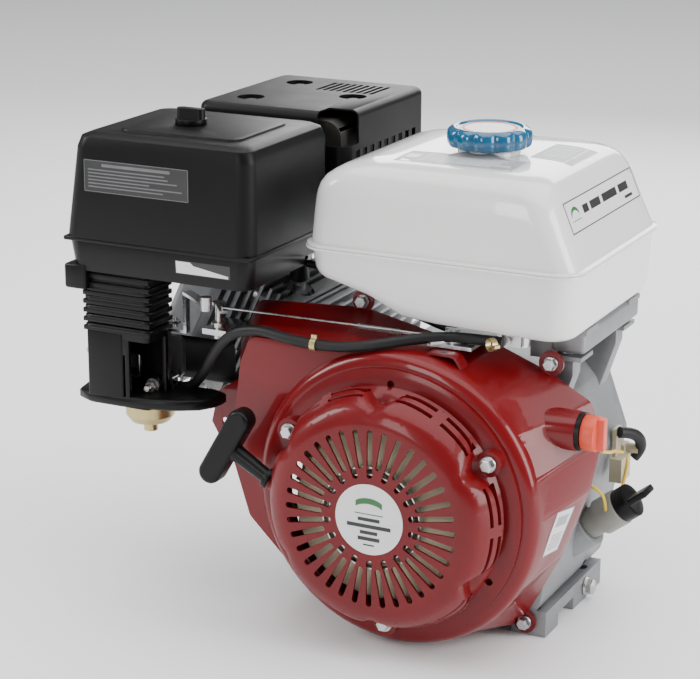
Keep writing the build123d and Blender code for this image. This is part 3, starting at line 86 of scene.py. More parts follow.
def soft_light(name, place, target, size, watts):
    """Rectangular soft box, aimed at a target."""
    lamp = bpy.data.lights.new(name, "AREA")
    lamp.shape, lamp.size, lamp.size_y = "RECTANGLE", size[0], size[1]
    lamp.energy = watts
    o = bpy.data.objects.new(name, lamp)
    bpy.context.collection.objects.link(o)
    o.location = place
    o.rotation_euler = (Vector(target) - Vector(place)).to_track_quat("-Z", "Y").to_euler()
    return o


def studio():
    """Pale floor, soft boxes and an even sky that lights less than it shows."""
    world = bpy.data.worlds.new("studio")
    world.use_nodes = True
    t = Tree(world.node_tree)
    seen = t.add("ShaderNodeLightPath").outputs["Is Camera Ray"]
    strength = t.add("ShaderNodeMapRange", {"Value": seen, "To Min": 0.22, "To Max": 0.95}).outputs[0]
    sky = world.node_tree.nodes["Background"]
    sky.inputs[0].default_value = (0.96, 0.975, 1.0, 1)
    world.node_tree.links.new(strength, sky.inputs[1])
    bpy.context.scene.world = world
    soft_light("key_left", (-1.9, -0.9, 1.3), (-0.05, 0, 0.22), (0.7, 1.1), 30)
    soft_light("top_bank", (0.2, 0.3, 4.2), (0, 0.2, 0), (6.0, 6.0), 330)
    soft_light("fill_right", (1.7, 0.0, 0.75), (0.05, 0, 0.2), (0.8, 1.2), 30)
    soft_light("front_low", (-0.5, -2.2, 0.9), (0, 0, 0.2), (0.5, 0.9), 12)
    soft_light("rim_back", (-0.4, 1.9, 1.1), (0, 0, 0.25), (1.4, 0.8), 22)
    mesh = bpy.data.meshes.new("floor")
    mesh.from_pydata([(-6, -6, -0.0005), (6, -6, -0.0005), (6, 6, -0.0005), (-6, 6, -0.0005)], [], [(0, 1, 2, 3)])
    floor = bpy.data.objects.new("floor", mesh)
    bpy.context.collection.objects.link(floor)
    m = bpy.data.materials.new("floor_white")
    m.use_nodes = True
    m.node_tree.nodes["Principled BSDF"].inputs["Base Color"].default_value = (0.93, 0.93, 0.935, 1)
    m.node_tree.nodes["Principled BSDF"].inputs["Roughness"].default_value = 0.75
    mesh.materials.append(m)


aim_camera()
studio()

# ---- shader groups ------------------------------------------------------------------------
def shader_group(name, ins, outs, build):
    """Node group with named inputs and outputs, filled in by build."""
    g = bpy.data.node_groups.new(name, "ShaderNodeTree")
    for label, kind, value in ins:
        g.interface.new_socket(label, in_out="INPUT", socket_type=KINDS[kind]).default_value = value
    for label, kind in outs:
        g.interface.new_socket(label, in_out="OUTPUT", socket_type=KINDS[kind])
    t = Tree(g)
    build(t, t.add("NodeGroupInput").outputs, t.add("NodeGroupOutput").inputs)
    return g


def build_grain(t, i, o):
    """Fine and coarse noise: roughness, tone and normal for cast, moulded or sprayed surfaces."""
    place = t.add("ShaderNodeTexCoord").outputs["Object"]
    fine = t.add("ShaderNodeTexNoise", {"Vector": place, "Scale": i["Scale"], "Detail": 4.0, "Roughness": 0.6})
    broad = t.add("ShaderNodeTexNoise", {"Vector": place, "Scale": i["Broad Scale"], "Detail": 3.0})
    mixed = t.math("ADD", t.math("MULTIPLY", fine.outputs["Fac"], 0.6), t.math("MULTIPLY", broad.outputs["Fac"], 0.4))
    rough = t.add("ShaderNodeMapRange", {"Value": mixed, "From Min": 0.3, "From Max": 0.7,
                                         "To Min": i["Rough Low"], "To Max": i["Rough High"]})
    bump = t.add("ShaderNodeBump", {"Height": fine.outputs["Fac"], "Strength": i["Bump"], "Distance": 0.0006})
    t.tree.links.new(rough.outputs[0], o["Roughness"])
    t.tree.links.new(broad.outputs["Fac"], o["Tone"])
    t.tree.links.new(bump.outputs[0], o["Normal"])


def build_edge(t, i, o):
    """1 along convex edges, broken up by noise: edge wear and a painted edge highlight."""
    flat = t.add("ShaderNodeNewGeometry")
    bevel = t.add("ShaderNodeBevel", {"Radius": i["Radius"]}, samples=4)
    dot = t.add("ShaderNodeVectorMath", {0: bevel.outputs[0], 1: flat.outputs["Normal"]}, operation="DOT_PRODUCT")
    edge = t.math("SUBTRACT", 1.0, dot.outputs["Value"])
    place = t.add("ShaderNodeTexCoord").outputs["Object"]
    noise = t.add("ShaderNodeTexNoise", {"Vector": place, "Scale": 240.0, "Detail": 4.0})
    worn = t.math("MULTIPLY", edge, t.math("MULTIPLY", noise.outputs["Fac"], i["Amount"]))
    t.tree.links.new(t.math("MINIMUM", worn, 1.0), o["Mask"])


def build_dust(t, i, o):
    """Thin dust on faces that look up."""
    flat = t.add("ShaderNodeNewGeometry")
    up = t.add("ShaderNodeSeparateXYZ", {0: flat.outputs["Normal"]}).outputs["Z"]
    place = t.add("ShaderNodeTexCoord").outputs["Object"]
    noise = t.add("ShaderNodeTexNoise", {"Vector": place, "Scale": 55.0, "Detail": 6.0, "Roughness": 0.65})
    rise = t.math("MULTIPLY", t.math("MAXIMUM", up, 0.0), noise.outputs["Fac"])
    t.tree.links.new(t.math("MULTIPLY", rise, i["Amount"], clamp=True), o["Mask"])


def build_foil(t, i, o):
    """Slow colour drift of passivated zinc plating."""
    place = t.add("ShaderNodeTexCoord").outputs["Object"]
    noise = t.add("ShaderNodeTexNoise", {"Vector": place, "Scale": 90.0, "Detail": 2.0})
    ramp = t.add("ShaderNodeValToRGB", {0: noise.outputs["Fac"]})
    ramp.color_ramp.elements[0].position, ramp.color_ramp.elements[0].color = 0.35, (0.62, 0.66, 0.72, 1)
    ramp.color_ramp.elements[1].position, ramp.color_ramp.elements[1].color = 0.7, (0.80, 0.76, 0.66, 1)
    mix = t.add("ShaderNodeMix", {"Factor": i["Amount"], "A": i["Color"], "B": ramp.outputs[0]}, data_type="RGBA")
    t.tree.links.new(mix.outputs["Result"], o["Color"])


GRAIN = shader_group("surface_grain", [("Scale", "f", 900.0), ("Broad Scale", "f", 40.0), ("Rough Low", "f", 0.3),
                                       ("Rough High", "f", 0.5), ("Bump", "f", 0.1)],
                     [("Roughness", "f"), ("Tone", "f"), ("Normal", "v")], build_grain)
# edge mask: real edge wear together with a painted edge highlight
EDGE = shader_group("edge_wear", [("Radius", "f", 0.0015), ("Amount", "f", 2.0)], [("Mask", "f")], build_edge)
DUST = shader_group("settled_dust", [("Amount", "f", 0.2)], [("Mask", "f")], build_dust)
FOIL = shader_group("zinc_drift", [("Color", "c", (0.7, 0.7, 0.7, 1)), ("Amount", "f", 0.5)],
                    [("Color", "c")], build_foil)


def use_group(t, group, values):
    """One use of a group, with its own values or links; returns its outputs."""
    n = t.tree.nodes.new("ShaderNodeGroup")
    n.node_tree = group
    for k, v in values.items():
        if isinstance(v, bpy.types.NodeSocket):
            t.tree.links.new(v, n.inputs[k])
        else:
            n.inputs[k].default_value = v
    return n.outputs


def finish_of(name, low, high, rough, grain=900.0, broad=40.0, bump=0.1, metal=0.0, coat=0.0, coat_rough=0.05,
              edge=None, edge_amount=2.0, dust=0.0, drift=0.0, plain=None, edge_radius=0.0012):
    """One surface finish: two tones blended by noise, grain in roughness and normal, a lighter edge colour that is part
    wear and part painted highlight, and dust.
    """
    m = bpy.data.materials.new(name)
    m.use_nodes = True
    t = Tree(m.node_tree)
    shader = m.node_tree.nodes["Principled BSDF"]
    g = use_group(t, GRAIN, {"Scale": grain, "Broad Scale": broad, "Rough Low": rough[0], "Rough High": rough[1],
                             "Bump": bump})
    color = t.add("ShaderNodeMix", {"Factor": g["Tone"], "A": (*low, 1), "B": (*high, 1)},
                  data_type="RGBA").outputs["Result"]
    if drift:
        color = use_group(t, FOIL, {"Color": color, "Amount": drift})["Color"]
    # lighter colour along convex edges: part real wear, part painted edge highlight
    if edge:
        mask = use_group(t, EDGE, {"Radius": edge_radius, "Amount": edge_amount})["Mask"]
        color = t.add("ShaderNodeMix", {"Factor": mask, "A": color, "B": (*edge, 1)},
                      data_type="RGBA").outputs["Result"]
    if dust:
        mask = use_group(t, DUST, {"Amount": dust})["Mask"]
        color = t.add("ShaderNodeMix", {"Factor": mask, "A": color, "B": (0.35, 0.33, 0.30, 1)},
                      data_type="RGBA").outputs["Result"]
    t.tree.links.new(color, shader.inputs["Base Color"])
    t.tree.links.new(g["Roughness"], shader.inputs["Roughness"])
    t.tree.links.new(g["Normal"], shader.inputs["Normal"])
    shader.inputs["Metallic"].default_value = metal
    if coat:
        shader.inputs["Coat Weight"].default_value = coat
        shader.inputs["Coat Roughness"].default_value = coat_rough
    for k, v in (plain or {}).items():
        shader.inputs[k].default_value = v
    return m


# the edge colours below are lighter than the base tones: wear together with a painted edge highlight
M = {
    "shroud_red": finish_of("shroud_red", (0.125, 0.0010, 0.0028), (0.175, 0.0018, 0.0042), (0.26, 0.36), 700, 22, 0.03,
                            coat=0.40, coat_rough=0.05, dust=0.01, edge=(0.22, 0.006, 0.008), edge_amount=1.0,
                            plain={"Specular IOR Level": 0.2}),
    "starter_red": finish_of("starter_red", (0.115, 0.0012, 0.0028), (0.165, 0.0022, 0.0048), (0.32, 0.44), 900, 30,
                             0.05, coat=0.30, coat_rough=0.10, dust=0.01, edge=(0.22, 0.010, 0.010),
                             plain={"Specular IOR Level": 0.2}),
    "tank_white": finish_of("tank_white", (0.80, 0.80, 0.785), (0.85, 0.85, 0.84), (0.20, 0.28), 500, 14, 0.02,
                            coat=0.8, coat_rough=0.04, dust=0.05),
    "box_black": finish_of("box_black", (0.0020, 0.0020, 0.0022), (0.0042, 0.0042, 0.0045), (0.34, 0.46), 2600, 34,
                           0.14, dust=0.008, edge=(0.018, 0.018, 0.019), edge_amount=1.4,
                           plain={"Specular IOR Level": 0.18}),
    "moulded_black": finish_of("moulded_black", (0.0022, 0.0022, 0.0025), (0.005, 0.005, 0.0053), (0.28, 0.42), 2000,
                               45, 0.10, dust=0.008, edge=(0.018, 0.018, 0.018),
                               plain={"Specular IOR Level": 0.22}),
    "guard_black": finish_of("guard_black", (0.0025, 0.0025, 0.0028), (0.006, 0.006, 0.0063), (0.36, 0.50), 1500, 28,
                             0.14, dust=0.012, edge=(0.03, 0.03, 0.03), edge_amount=1.3,
                             plain={"Specular IOR Level": 0.18}),
    "cast_grey": finish_of("cast_grey", (0.22, 0.225, 0.235), (0.33, 0.335, 0.345), (0.44, 0.62), 1300, 60, 0.42,
                           metal=0.75, dust=0.04, edge=(0.55, 0.55, 0.56), edge_amount=1.5),
    "cast_inner": finish_of("cast_inner", (0.40, 0.40, 0.41), (0.55, 0.55, 0.56), (0.35, 0.5), 900, 60, 0.2,
                            metal=0.85),
    "turned_steel": finish_of("turned_steel", (0.45, 0.45, 0.46), (0.58, 0.58, 0.59), (0.22, 0.36), 1500, 80, 0.08,
                              metal=1.0, edge=(0.75, 0.75, 0.76)),
    "plated_zinc": finish_of("plated_zinc", (0.36, 0.36, 0.355), (0.50, 0.50, 0.50), (0.22, 0.38), 1400, 120, 0.06,
                             metal=1.0, drift=0.45, edge=(0.85, 0.85, 0.86)),
    "dark_iron": finish_of("dark_iron", (0.05, 0.048, 0.046), (0.10, 0.095, 0.09), (0.5, 0.7), 900, 60, 0.35,
                           metal=0.7, edge=(0.2, 0.19, 0.18)),
    "black_rubber": finish_of("black_rubber", (0.006, 0.006, 0.006), (0.012, 0.012, 0.012), (0.40, 0.56), 1500, 50,
                              0.10, dust=0.01, plain={"Specular IOR Level": 0.30}),
    "yellow_zinc": finish_of("yellow_zinc", (0.42, 0.33, 0.14), (0.60, 0.50, 0.26), (0.25, 0.42), 900, 90, 0.08,
                             metal=1.0, edge=(0.75, 0.68, 0.45)),
    "knob_orange": finish_of("knob_orange", (0.62, 0.052, 0.022), (0.72, 0.075, 0.030), (0.32, 0.44), 1600, 40, 0.06),
    "fan_tan": finish_of("fan_tan", (0.42, 0.37, 0.25), (0.54, 0.48, 0.34), (0.42, 0.58), 1200, 40, 0.10, dust=0.1),
    "filter_foam": finish_of("filter_foam", (0.12, 0.10, 0.07), (0.22, 0.18, 0.12), (0.8, 0.95), 700, 120, 0.9),
    "rope_weave": finish_of("rope_weave", (0.02, 0.02, 0.02), (0.07, 0.07, 0.07), (0.7, 0.9), 1500, 200, 0.6),
    "wire_yellow": finish_of("wire_yellow", (0.62, 0.40, 0.02), (0.72, 0.50, 0.05), (0.35, 0.5), 900, 60, 0.05),
    "filler_grey": finish_of("filler_grey", (0.22, 0.215, 0.19), (0.30, 0.29, 0.26), (0.40, 0.55), 1300, 50, 0.10,
                             dust=0.12),
    "label_white": finish_of("label_white", (0.70, 0.70, 0.69), (0.78, 0.78, 0.77), (0.30, 0.40), 600, 60, 0.03),
    "label_grey": finish_of("label_grey", (0.30, 0.31, 0.33), (0.38, 0.39, 0.41), (0.35, 0.45), 600, 60, 0.03),
    "label_ink": finish_of("label_ink", (0.012, 0.012, 0.013), (0.03, 0.03, 0.03), (0.35, 0.45), 600, 60, 0.03),
    "label_fade": finish_of("label_fade", (0.10, 0.10, 0.105), (0.16, 0.16, 0.165), (0.4, 0.5), 600, 60, 0.03),
    "label_green": finish_of("label_green", (0.02, 0.12, 0.03), (0.03, 0.17, 0.05), (0.35, 0.45), 600, 60, 0.03),
    "cap_blue": finish_of("cap_blue", (0.004, 0.085, 0.20), (0.008, 0.15, 0.30), (0.10, 0.18), 400, 60, 0.03,
                          coat=0.6, plain={"Transmission Weight": 0.15, "IOR": 1.49}),
}

NODE_FINISH = {
    "shroud_red": "fan_cover", "starter_red": "recoil_cover", "tank_white": "fuel_tank",
    "box_black": "air_cover air_knob", "guard_black": "muffler_guard",
    "moulded_black": "air_base dipstick engine_switch ignition_coil intake_elbow intake_pipe pull_handle",
    "cast_grey": "crankcase side_cover cylinder_head rocker_cover carburettor",
    "cast_inner": "connecting_rod piston",
    "turned_steel": "bearing_outers crank_fittings crankshaft rewind_spring starter_cup tappets valve_train",
    "plated_zinc": "case_bolts choke control_bracket fuel_valve governor_arm governor_rod governor_spring "
                   "small_bolts spark_plug speed_lever tank_brackets throttle",
    "dark_iron": "camshaft cylinder_liner exhaust_pipe flywheel muffler",
    "black_rubber": "fuel_hose gaskets ht_lead oil_seals plug_cap", "yellow_zinc": "float_bowl hose_clips",
    "cap_blue": "fuel_cap", "knob_orange": "switch_knob", "fan_tan": "fan oil_alert rope_reel",
    "filter_foam": "air_filter", "rope_weave": "pull_rope", "wire_yellow": "switch_wire",
    "filler_grey": "oil_filler",
}
FINISH = {node: M[key] for key, group in NODE_FINISH.items() for node in group.split()}
for node_name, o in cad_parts.items():
    o.data.materials.clear()
    o.data.materials.append(FINISH[node_name])

# ---- making pieces -----------------------------------------------------------------------
def add_piece(name, mesh, finish, body, stands_for=(), smooth=32):
    """Links a finished mesh as one piece: finish, body and the nodes it stands for."""
    o = bpy.data.objects.new(name, mesh)
    bpy.context.collection.objects.link(o)
    if finish:
        mesh.materials.clear()
        mesh.materials.append(M[finish])
    if smooth:
        shade(mesh, smooth)
    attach(o, body)
    if stands_for:
        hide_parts(*stands_for)
    return o


def shade(mesh, degrees):
    """Smooth shading with sharp edges above an angle."""
    bm = bmesh.new()
    bm.from_mesh(mesh)
    for f in bm.faces:
        f.smooth = True
    limit = math.radians(degrees)
    for e in bm.edges:
        e.smooth = len(e.link_faces) == 2 and e.calc_face_angle(0.0) < limit
    bm.to_mesh(mesh)
    bm.free()


def bake(o):
    """The object's evaluated mesh, as plain data."""
    dg = bpy.context.evaluated_depsgraph_get()
    return bpy.data.meshes.new_from_object(o.evaluated_get(dg), preserve_all_data_layers=True, depsgraph=dg)


def soften(node, body, width, name=None, finish=None, segments=2, angle=34, smooth=32, floor=None):
    """Merged copy of a CAD node with rounded edges, standing for that node; floor trims it level below a height."""
    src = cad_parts[node]
    bm = bmesh.new()
    bm.from_mesh(src.data)
    bmesh.ops.remove_doubles(bm, verts=bm.verts, dist=WELD)
    bmesh.ops.dissolve_degenerate(bm, dist=0.00001, edges=bm.edges)
    bmesh.ops.dissolve_limit(bm, angle_limit=math.radians(0.6), verts=bm.verts, edges=bm.edges)
    if floor is not None:
        bmesh.ops.bisect_plane(bm, geom=bm.verts[:] + bm.edges[:] + bm.faces[:], dist=1e-6,
                               plane_co=(0, 0, floor * MM), plane_no=(0, 0, -1), clear_outer=True)
        bmesh.ops.holes_fill(bm, edges=[e for e in bm.edges if len(e.link_faces) == 1])
    mesh = bpy.data.meshes.new(name or node + "_body")
    bm.to_mesh(mesh)
    bm.free()
    o = bpy.data.objects.new("work", mesh)
    bpy.context.collection.objects.link(o)
    if width:
        mod = o.modifiers.new("round", "BEVEL")
        mod.width, mod.segments, mod.limit_method = width, segments, "ANGLE"
        mod.angle_limit, mod.use_clamp_overlap, mod.miter_outer = math.radians(angle), True, "MITER_ARC"
    done = bake(o)
    bpy.data.objects.remove(o)
    done.name = name or node + "_body"
    key = finish or next(k for k, v in NODE_FINISH.items() if node in v.split())
    return add_piece(name or node + "_body", done, key, body, (node,), smooth)


def ring_points(x0, x1, y0, y1, r, corner=8, side=5):
    """Closed outline of a rounded rectangle, corner arcs and sides with a fixed count of points."""
    pts = []
    for cx, cy, start in ((x1 - r, y1 - r, 0), (x0 + r, y1 - r, 90), (x0 + r, y0 + r, 180), (x1 - r, y0 + r, 270)):
        for i in range(corner + 1):
            a = math.radians(start + 90 * i / corner)
            pts.append(Vector((cx + r * math.cos(a), cy + r * math.sin(a))))
    full = []
    for i, p in enumerate(pts):
        full.append(p)
        if i % (corner + 1) == corner:
            q = pts[(i + 1) % len(pts)]
            full += [p.lerp(q, j / (side + 1)) for j in range(1, side + 1)]
    return full


def skin(bm, rings):
    """Closed skin over successive rings of points in millimetres, capped at both ends."""
    rows = [[bm.verts.new(Vector(p) * MM) for p in ring] for ring in rings]
    n = len(rows[0])
    for a, b in zip(rows, rows[1:]):
        for i in range(n):
            j = (i + 1) % n
            bm.faces.new((a[i], a[j], b[j], b[i]))
    bm.faces.new(list(reversed(rows[0])))
    bm.faces.new(rows[-1])


def lathe(bm, profile, axis, origin, steps=96, wave=None):
    """Turned solid: profile of (along, radius) in millimetres about an axis; a closed profile gives a closed shell."""
    axis = Vector(axis).normalized()
    side = axis.orthogonal().normalized()
    other = axis.cross(side)
    rows = []
    for i in range(steps):
        a = 2 * math.pi * i / steps
        spoke = side * math.cos(a) + other * math.sin(a)
        rows.append([bm.verts.new((Vector(origin) + axis * h + spoke * (r + (wave(a, h, r) if wave else 0))) * MM)
                     for h, r in profile])
    n = len(profile)
    for i in range(steps):
        a, b = rows[i], rows[(i + 1) % steps]
        for j in range(n):
            k = (j + 1) % n
            if profile[j][1] < 1e-6 and profile[k][1] < 1e-6:
                continue
            bm.faces.new((a[j], a[k], b[k], b[j]))
    bmesh.ops.remove_doubles(bm, verts=bm.verts, dist=1e-7)
    bmesh.ops.dissolve_degenerate(bm, dist=1e-8, edges=bm.edges)


def closed_mesh(name, bm):
    """The shells in bm as a mesh, faces outwards."""
    bmesh.ops.recalc_face_normals(bm, faces=bm.faces)
    mesh = bpy.data.meshes.new(name)
    bm.to_mesh(mesh)
    bm.free()
    return mesh


# ---- printed plates --------------------------------------------------------------------------
def patch(bm, surface, spot, u_axis, v_axis, rect, toward, lift, index, nu=6, nv=4):
    """Thin closed plate pressed onto a surface: rect is (u0, v0, u1, v1), or four corners, in millimetres."""
    if len(rect) == 4 and not isinstance(rect[0], tuple):
        u0, v0, u1, v1 = rect
        rect = ((u0, v0), (u1, v0), (u1, v1), (u0, v1))
    a, b, c, d = (Vector(q) for q in rect)
    top, low = [], []
    for j in range(nv + 1):
        for i in range(nu + 1):
            q = a.lerp(b, i / nu).lerp(d.lerp(c, i / nu), j / nv)
            p = spot + u_axis * q.x + v_axis * q.y
            hit, normal, _, _ = surface.ray_cast((p - toward * 30) * MM, toward, 0.09)
            base = hit if hit is not None else p * MM
            top.append(bm.verts.new(base - toward * lift * MM))
            low.append(bm.verts.new(base + toward * 0.15 * MM))
    w = nu + 1
    faces = []
    for j in range(nv):
        for i in range(nu):
            a = j * w + i
            faces.append(bm.faces.new((top[a], top[a + 1], top[a + 1 + w], top[a + w])))
            faces.append(bm.faces.new((low[a], low[a + w], low[a + 1 + w], low[a + 1])))
    rim = (list(range(w)) + [j * w + nu for j in range(1, nv + 1)]
           + [nv * w + i for i in range(nu - 1, -1, -1)] + [j * w for j in range(nv - 1, 0, -1)])
    for a, b in zip(rim, rim[1:] + rim[:1]):
        faces.append(bm.faces.new((top[a], low[a], low[b], top[b])))
    for f in faces:
        f.material_index = index


def plate(name, target, spot, u_axis, v_axis, toward, art, finishes, body):
    """Printed plate made of rectangles (u0, v0, u1, v1, finish index, lift) laid on a target piece."""
    bm_t = bmesh.new()
    bm_t.from_mesh(target.data)
    surface = BVHTree.FromBMesh(bm_t)
    bm_t.free()
    bm = bmesh.new()
    for *shape, index, lift in art:
        patch(bm, surface, Vector(spot), Vector(u_axis).normalized(), Vector(v_axis).normalized(),
              tuple(shape), Vector(toward).normalized(), lift, index)
    mesh = closed_mesh(name, bm)
    for f in finishes:
        mesh.materials.append(M[f])
    return add_piece(name, mesh, None, body, smooth=30)


def framed(w, h, paper, ink, line=0.9):
    """Paper with a printed frame line just inside its edge."""
    art = [(-w / 2, -h / 2, w / 2, h / 2, paper, 0.15)]
    for u0, v0, u1, v1 in ((-w / 2, -h / 2, w / 2, -h / 2 + line), (-w / 2, h / 2 - line, w / 2, h / 2),
                           (-w / 2, -h / 2, -w / 2 + line, h / 2), (w / 2 - line, -h / 2, w / 2, h / 2)):
        art.append((u0, v0, u1, v1, ink, 0.3))
    return art


def text_rows(u0, u1, v_top, count, step, height, ink, seed, ragged=0.25):
    """Plain grey bars in the place of printed lines."""
    rnd = random.Random(seed)
    return [(u0, v_top - i * step - height, u1 - (u1 - u0) * ragged * rnd.random(), v_top - i * step, ink,
             0.3) for i in range(count)]


# ---- bars, hoses and wires ---------------------------------------------------------------------
def strand(name, points, radius, finish, body, stands_for=(), order=3, sides=4):
    """Round strand along a smooth route given in millimetres."""
    c = bpy.data.curves.new(name, "CURVE")
    c.dimensions = "3D"
    s = c.splines.new("NURBS")
    s.points.add(len(points) - 1)
    for p, q in zip(s.points, points):
        p.co = (*(Vector(q) * MM), 1)
    s.order_u, s.use_endpoint_u, s.resolution_u = order, True, 12
    c.bevel_depth, c.bevel_resolution, c.use_fill_caps = radius * MM, sides, True
    o = bpy.data.objects.new(name, c)
    bpy.context.collection.objects.link(o)
    mesh = bake(o)
    bpy.data.objects.remove(o)
    return add_piece(name, mesh, finish, body, stands_for, 50)


# ---- repeated hardware ------------------------------------------------------------------------
SOCKETS = {"f": "NodeSocketFloat", "i": "NodeSocketInt", "m": "NodeSocketMaterial"}


def geo_tree(name, ins, build):
    """Geometry Nodes tree with named inputs, ending in Realize Instances and Set Material."""
    g = bpy.data.node_groups.new(name, "GeometryNodeTree")
    g.interface.new_socket("Geometry", in_out="INPUT", socket_type="NodeSocketGeometry")
    for label, kind, value in list(ins) + [("Finish", "m", None)]:
        s = g.interface.new_socket(label, in_out="INPUT", socket_type=SOCKETS[kind])
        if value is not None:
            s.default_value = value
    g.interface.new_socket("Geometry", in_out="OUTPUT", socket_type="NodeSocketGeometry")
    t = Tree(g)
    i = t.add("NodeGroupInput").outputs
    real = t.add("GeometryNodeRealizeInstances", {0: build(t, i)}).outputs[0]
    done = t.add("GeometryNodeSetMaterial", {"Geometry": real, "Material": i["Finish"]}).outputs[0]
    t.add("NodeGroupOutput", {0: done})
    return g


def shifted(t, mesh, z):
    """A mesh moved along Z."""
    offset = t.add("ShaderNodeCombineXYZ", {"Z": z}).outputs[0]
    return t.add("GeometryNodeTransform", {"Geometry": mesh, "Translation": offset}).outputs[0]


def on_points(t, i, parts):
    """The joined parts on every point, their Z along the point's axis attribute."""
    part = t.tree.nodes.new("GeometryNodeJoinGeometry")
    for p in parts:
        t.tree.links.new(p, part.inputs[0])
    axis = t.add("GeometryNodeInputNamedAttribute", {"Name": "axis"}, data_type="FLOAT_VECTOR").outputs["Attribute"]
    turn = t.add("FunctionNodeAlignRotationToVector", {"Vector": axis}, axis="Z").outputs[0]
    return t.add("GeometryNodeInstanceOnPoints", {"Points": i["Geometry"], "Instance": part.outputs[0],
                                                  "Rotation": turn}).outputs[0]


def build_hex_bolt(t, i):
    """Flanged hexagon head or nut with a shank and a threaded stud end."""
    corner = t.math("DIVIDE", i["Across Flats"], 1.7320508)
    tall = i["Head Height"]
    low = t.math("MULTIPLY", tall, 0.84)
    prism = t.add("GeometryNodeMeshCylinder", {"Vertices": 6, "Radius": corner, "Depth": low}).outputs[0]
    nose = t.add("GeometryNodeMeshCone", {"Vertices": 6, "Radius Top": t.math("MULTIPLY", corner, 0.82),
                                          "Radius Bottom": corner, "Depth": t.math("MULTIPLY", tall, 0.16)}).outputs[0]
    thick = t.math("MULTIPLY", tall, 0.2)
    skirt = t.add("GeometryNodeMeshCone", {"Vertices": 40, "Radius Bottom": i["Flange Radius"],
                                           "Radius Top": t.math("MULTIPLY", i["Flange Radius"], 0.93),
                                           "Depth": thick}).outputs[0]
    pad = t.add("GeometryNodeMeshCone", {"Vertices": 32, "Radius Bottom": t.math("MULTIPLY", corner, 0.66),
                                         "Radius Top": t.math("MULTIPLY", corner, 0.60),
                                         "Depth": t.math("MULTIPLY", tall, 0.10)}).outputs[0]
    shank_long = t.math("ADD", i["Shank"], i["Stud Out"])
    shank_long = t.math("ADD", shank_long, tall)
    shank = t.add("GeometryNodeMeshCylinder", {"Vertices": 24, "Radius": t.math("MULTIPLY", i["Stud Radius"], 0.88),
                                               "Depth": shank_long}).outputs[0]
    middle = t.math("SUBTRACT", t.math("MULTIPLY", shank_long, 0.5), i["Shank"])
    ridge = t.add("GeometryNodeMeshCone", {"Vertices": 20, "Radius Bottom": i["Stud Radius"],
                                           "Radius Top": t.math("MULTIPLY", i["Stud Radius"], 0.86),
                                           "Depth": 0.00085}).outputs[0]
    count = t.math("FLOOR", t.math("DIVIDE", i["Stud Out"], 0.0009))
    start = t.add("ShaderNodeCombineXYZ", {"Z": t.math("ADD", tall, 0.0007)}).outputs[0]
    line = t.add("GeometryNodeMeshLine", {"Count": count, "Start Location": start, "Offset": (0, 0, 0.0009)}).outputs[0]
    threads = t.add("GeometryNodeInstanceOnPoints", {"Points": line, "Instance": ridge}).outputs[0]
    return on_points(t, i, [shifted(t, prism, t.math("MULTIPLY", low, 0.5)),
                            shifted(t, nose, t.math("MULTIPLY", tall, 0.919)),
                            shifted(t, skirt, t.math("MULTIPLY", thick, 0.5)),
                            shifted(t, pad, t.math("MULTIPLY", tall, 1.0)),
                            shifted(t, shank, middle), threads])


HEX_BOLT = geo_tree("hex_bolt", [("Across Flats", "f", 0.010), ("Head Height", "f", 0.006),
                                 ("Flange Radius", "f", 0.0075), ("Stud Radius", "f", 0.003),
                                 ("Shank", "f", 0.003), ("Stud Out", "f", 0.0)], build_hex_bolt)


def build_spring(t, i):
    """Round wire wound in a helix."""
    coil = t.add("GeometryNodeCurveSpiral", {"Resolution": 16, "Rotations": i["Turns"], "Start Radius": i["Radius"],
                                             "End Radius": i["Radius"], "Height": i["Length"]}).outputs[0]
    wire = t.add("GeometryNodeCurvePrimitiveCircle", {"Resolution": 8, "Radius": i["Wire Radius"]}).outputs[0]
    mesh = t.add("GeometryNodeCurveToMesh", {"Curve": coil, "Profile Curve": wire, "Fill Caps": True}).outputs[0]
    return on_points(t, i, [mesh])


COIL_SPRING = geo_tree("coil_spring", [("Turns", "f", 20.0), ("Radius", "f", 0.0024), ("Length", "f", 0.03),
                                       ("Wire Radius", "f", 0.0004)], build_spring)


def grow(name, spots, tree, values, finish, body, slot, stands_for=(), smooth=40):
    """Runs a node tree on points in millimetres, each with its axis, and keeps the plain mesh."""
    mesh = bpy.data.meshes.new(name)
    mesh.from_pydata([tuple(Vector(p) * MM) for p, _ in spots], [], [])
    mesh.attributes.new("axis", "FLOAT_VECTOR", "POINT").data.foreach_set(
        "vector", [c for _, d in spots for c in Vector(d).normalized()])
    o = bpy.data.objects.new("work", mesh)
    bpy.context.collection.objects.link(o)
    mod = o.modifiers.new("tree", "NODES")
    mod.node_group = tree
    ids = {s.name: s.identifier for s in tree.interface.items_tree if s.in_out == "INPUT"}
    for k, v in values.items():
        mod[ids[k]] = v
    mod[ids["Finish"]] = M[finish]
    done = bake(o)
    bpy.data.objects.remove(o)
    done.name = name
    return add_piece(name, done, finish, body, stands_for, smooth)


def lug(angle, radius=106.0):
    """X and Z of a screw seat round the crankshaft, in millimetres."""
    return radius * math.cos(math.radians(angle)), CRANK_Z + radius * math.sin(math.radians(angle))


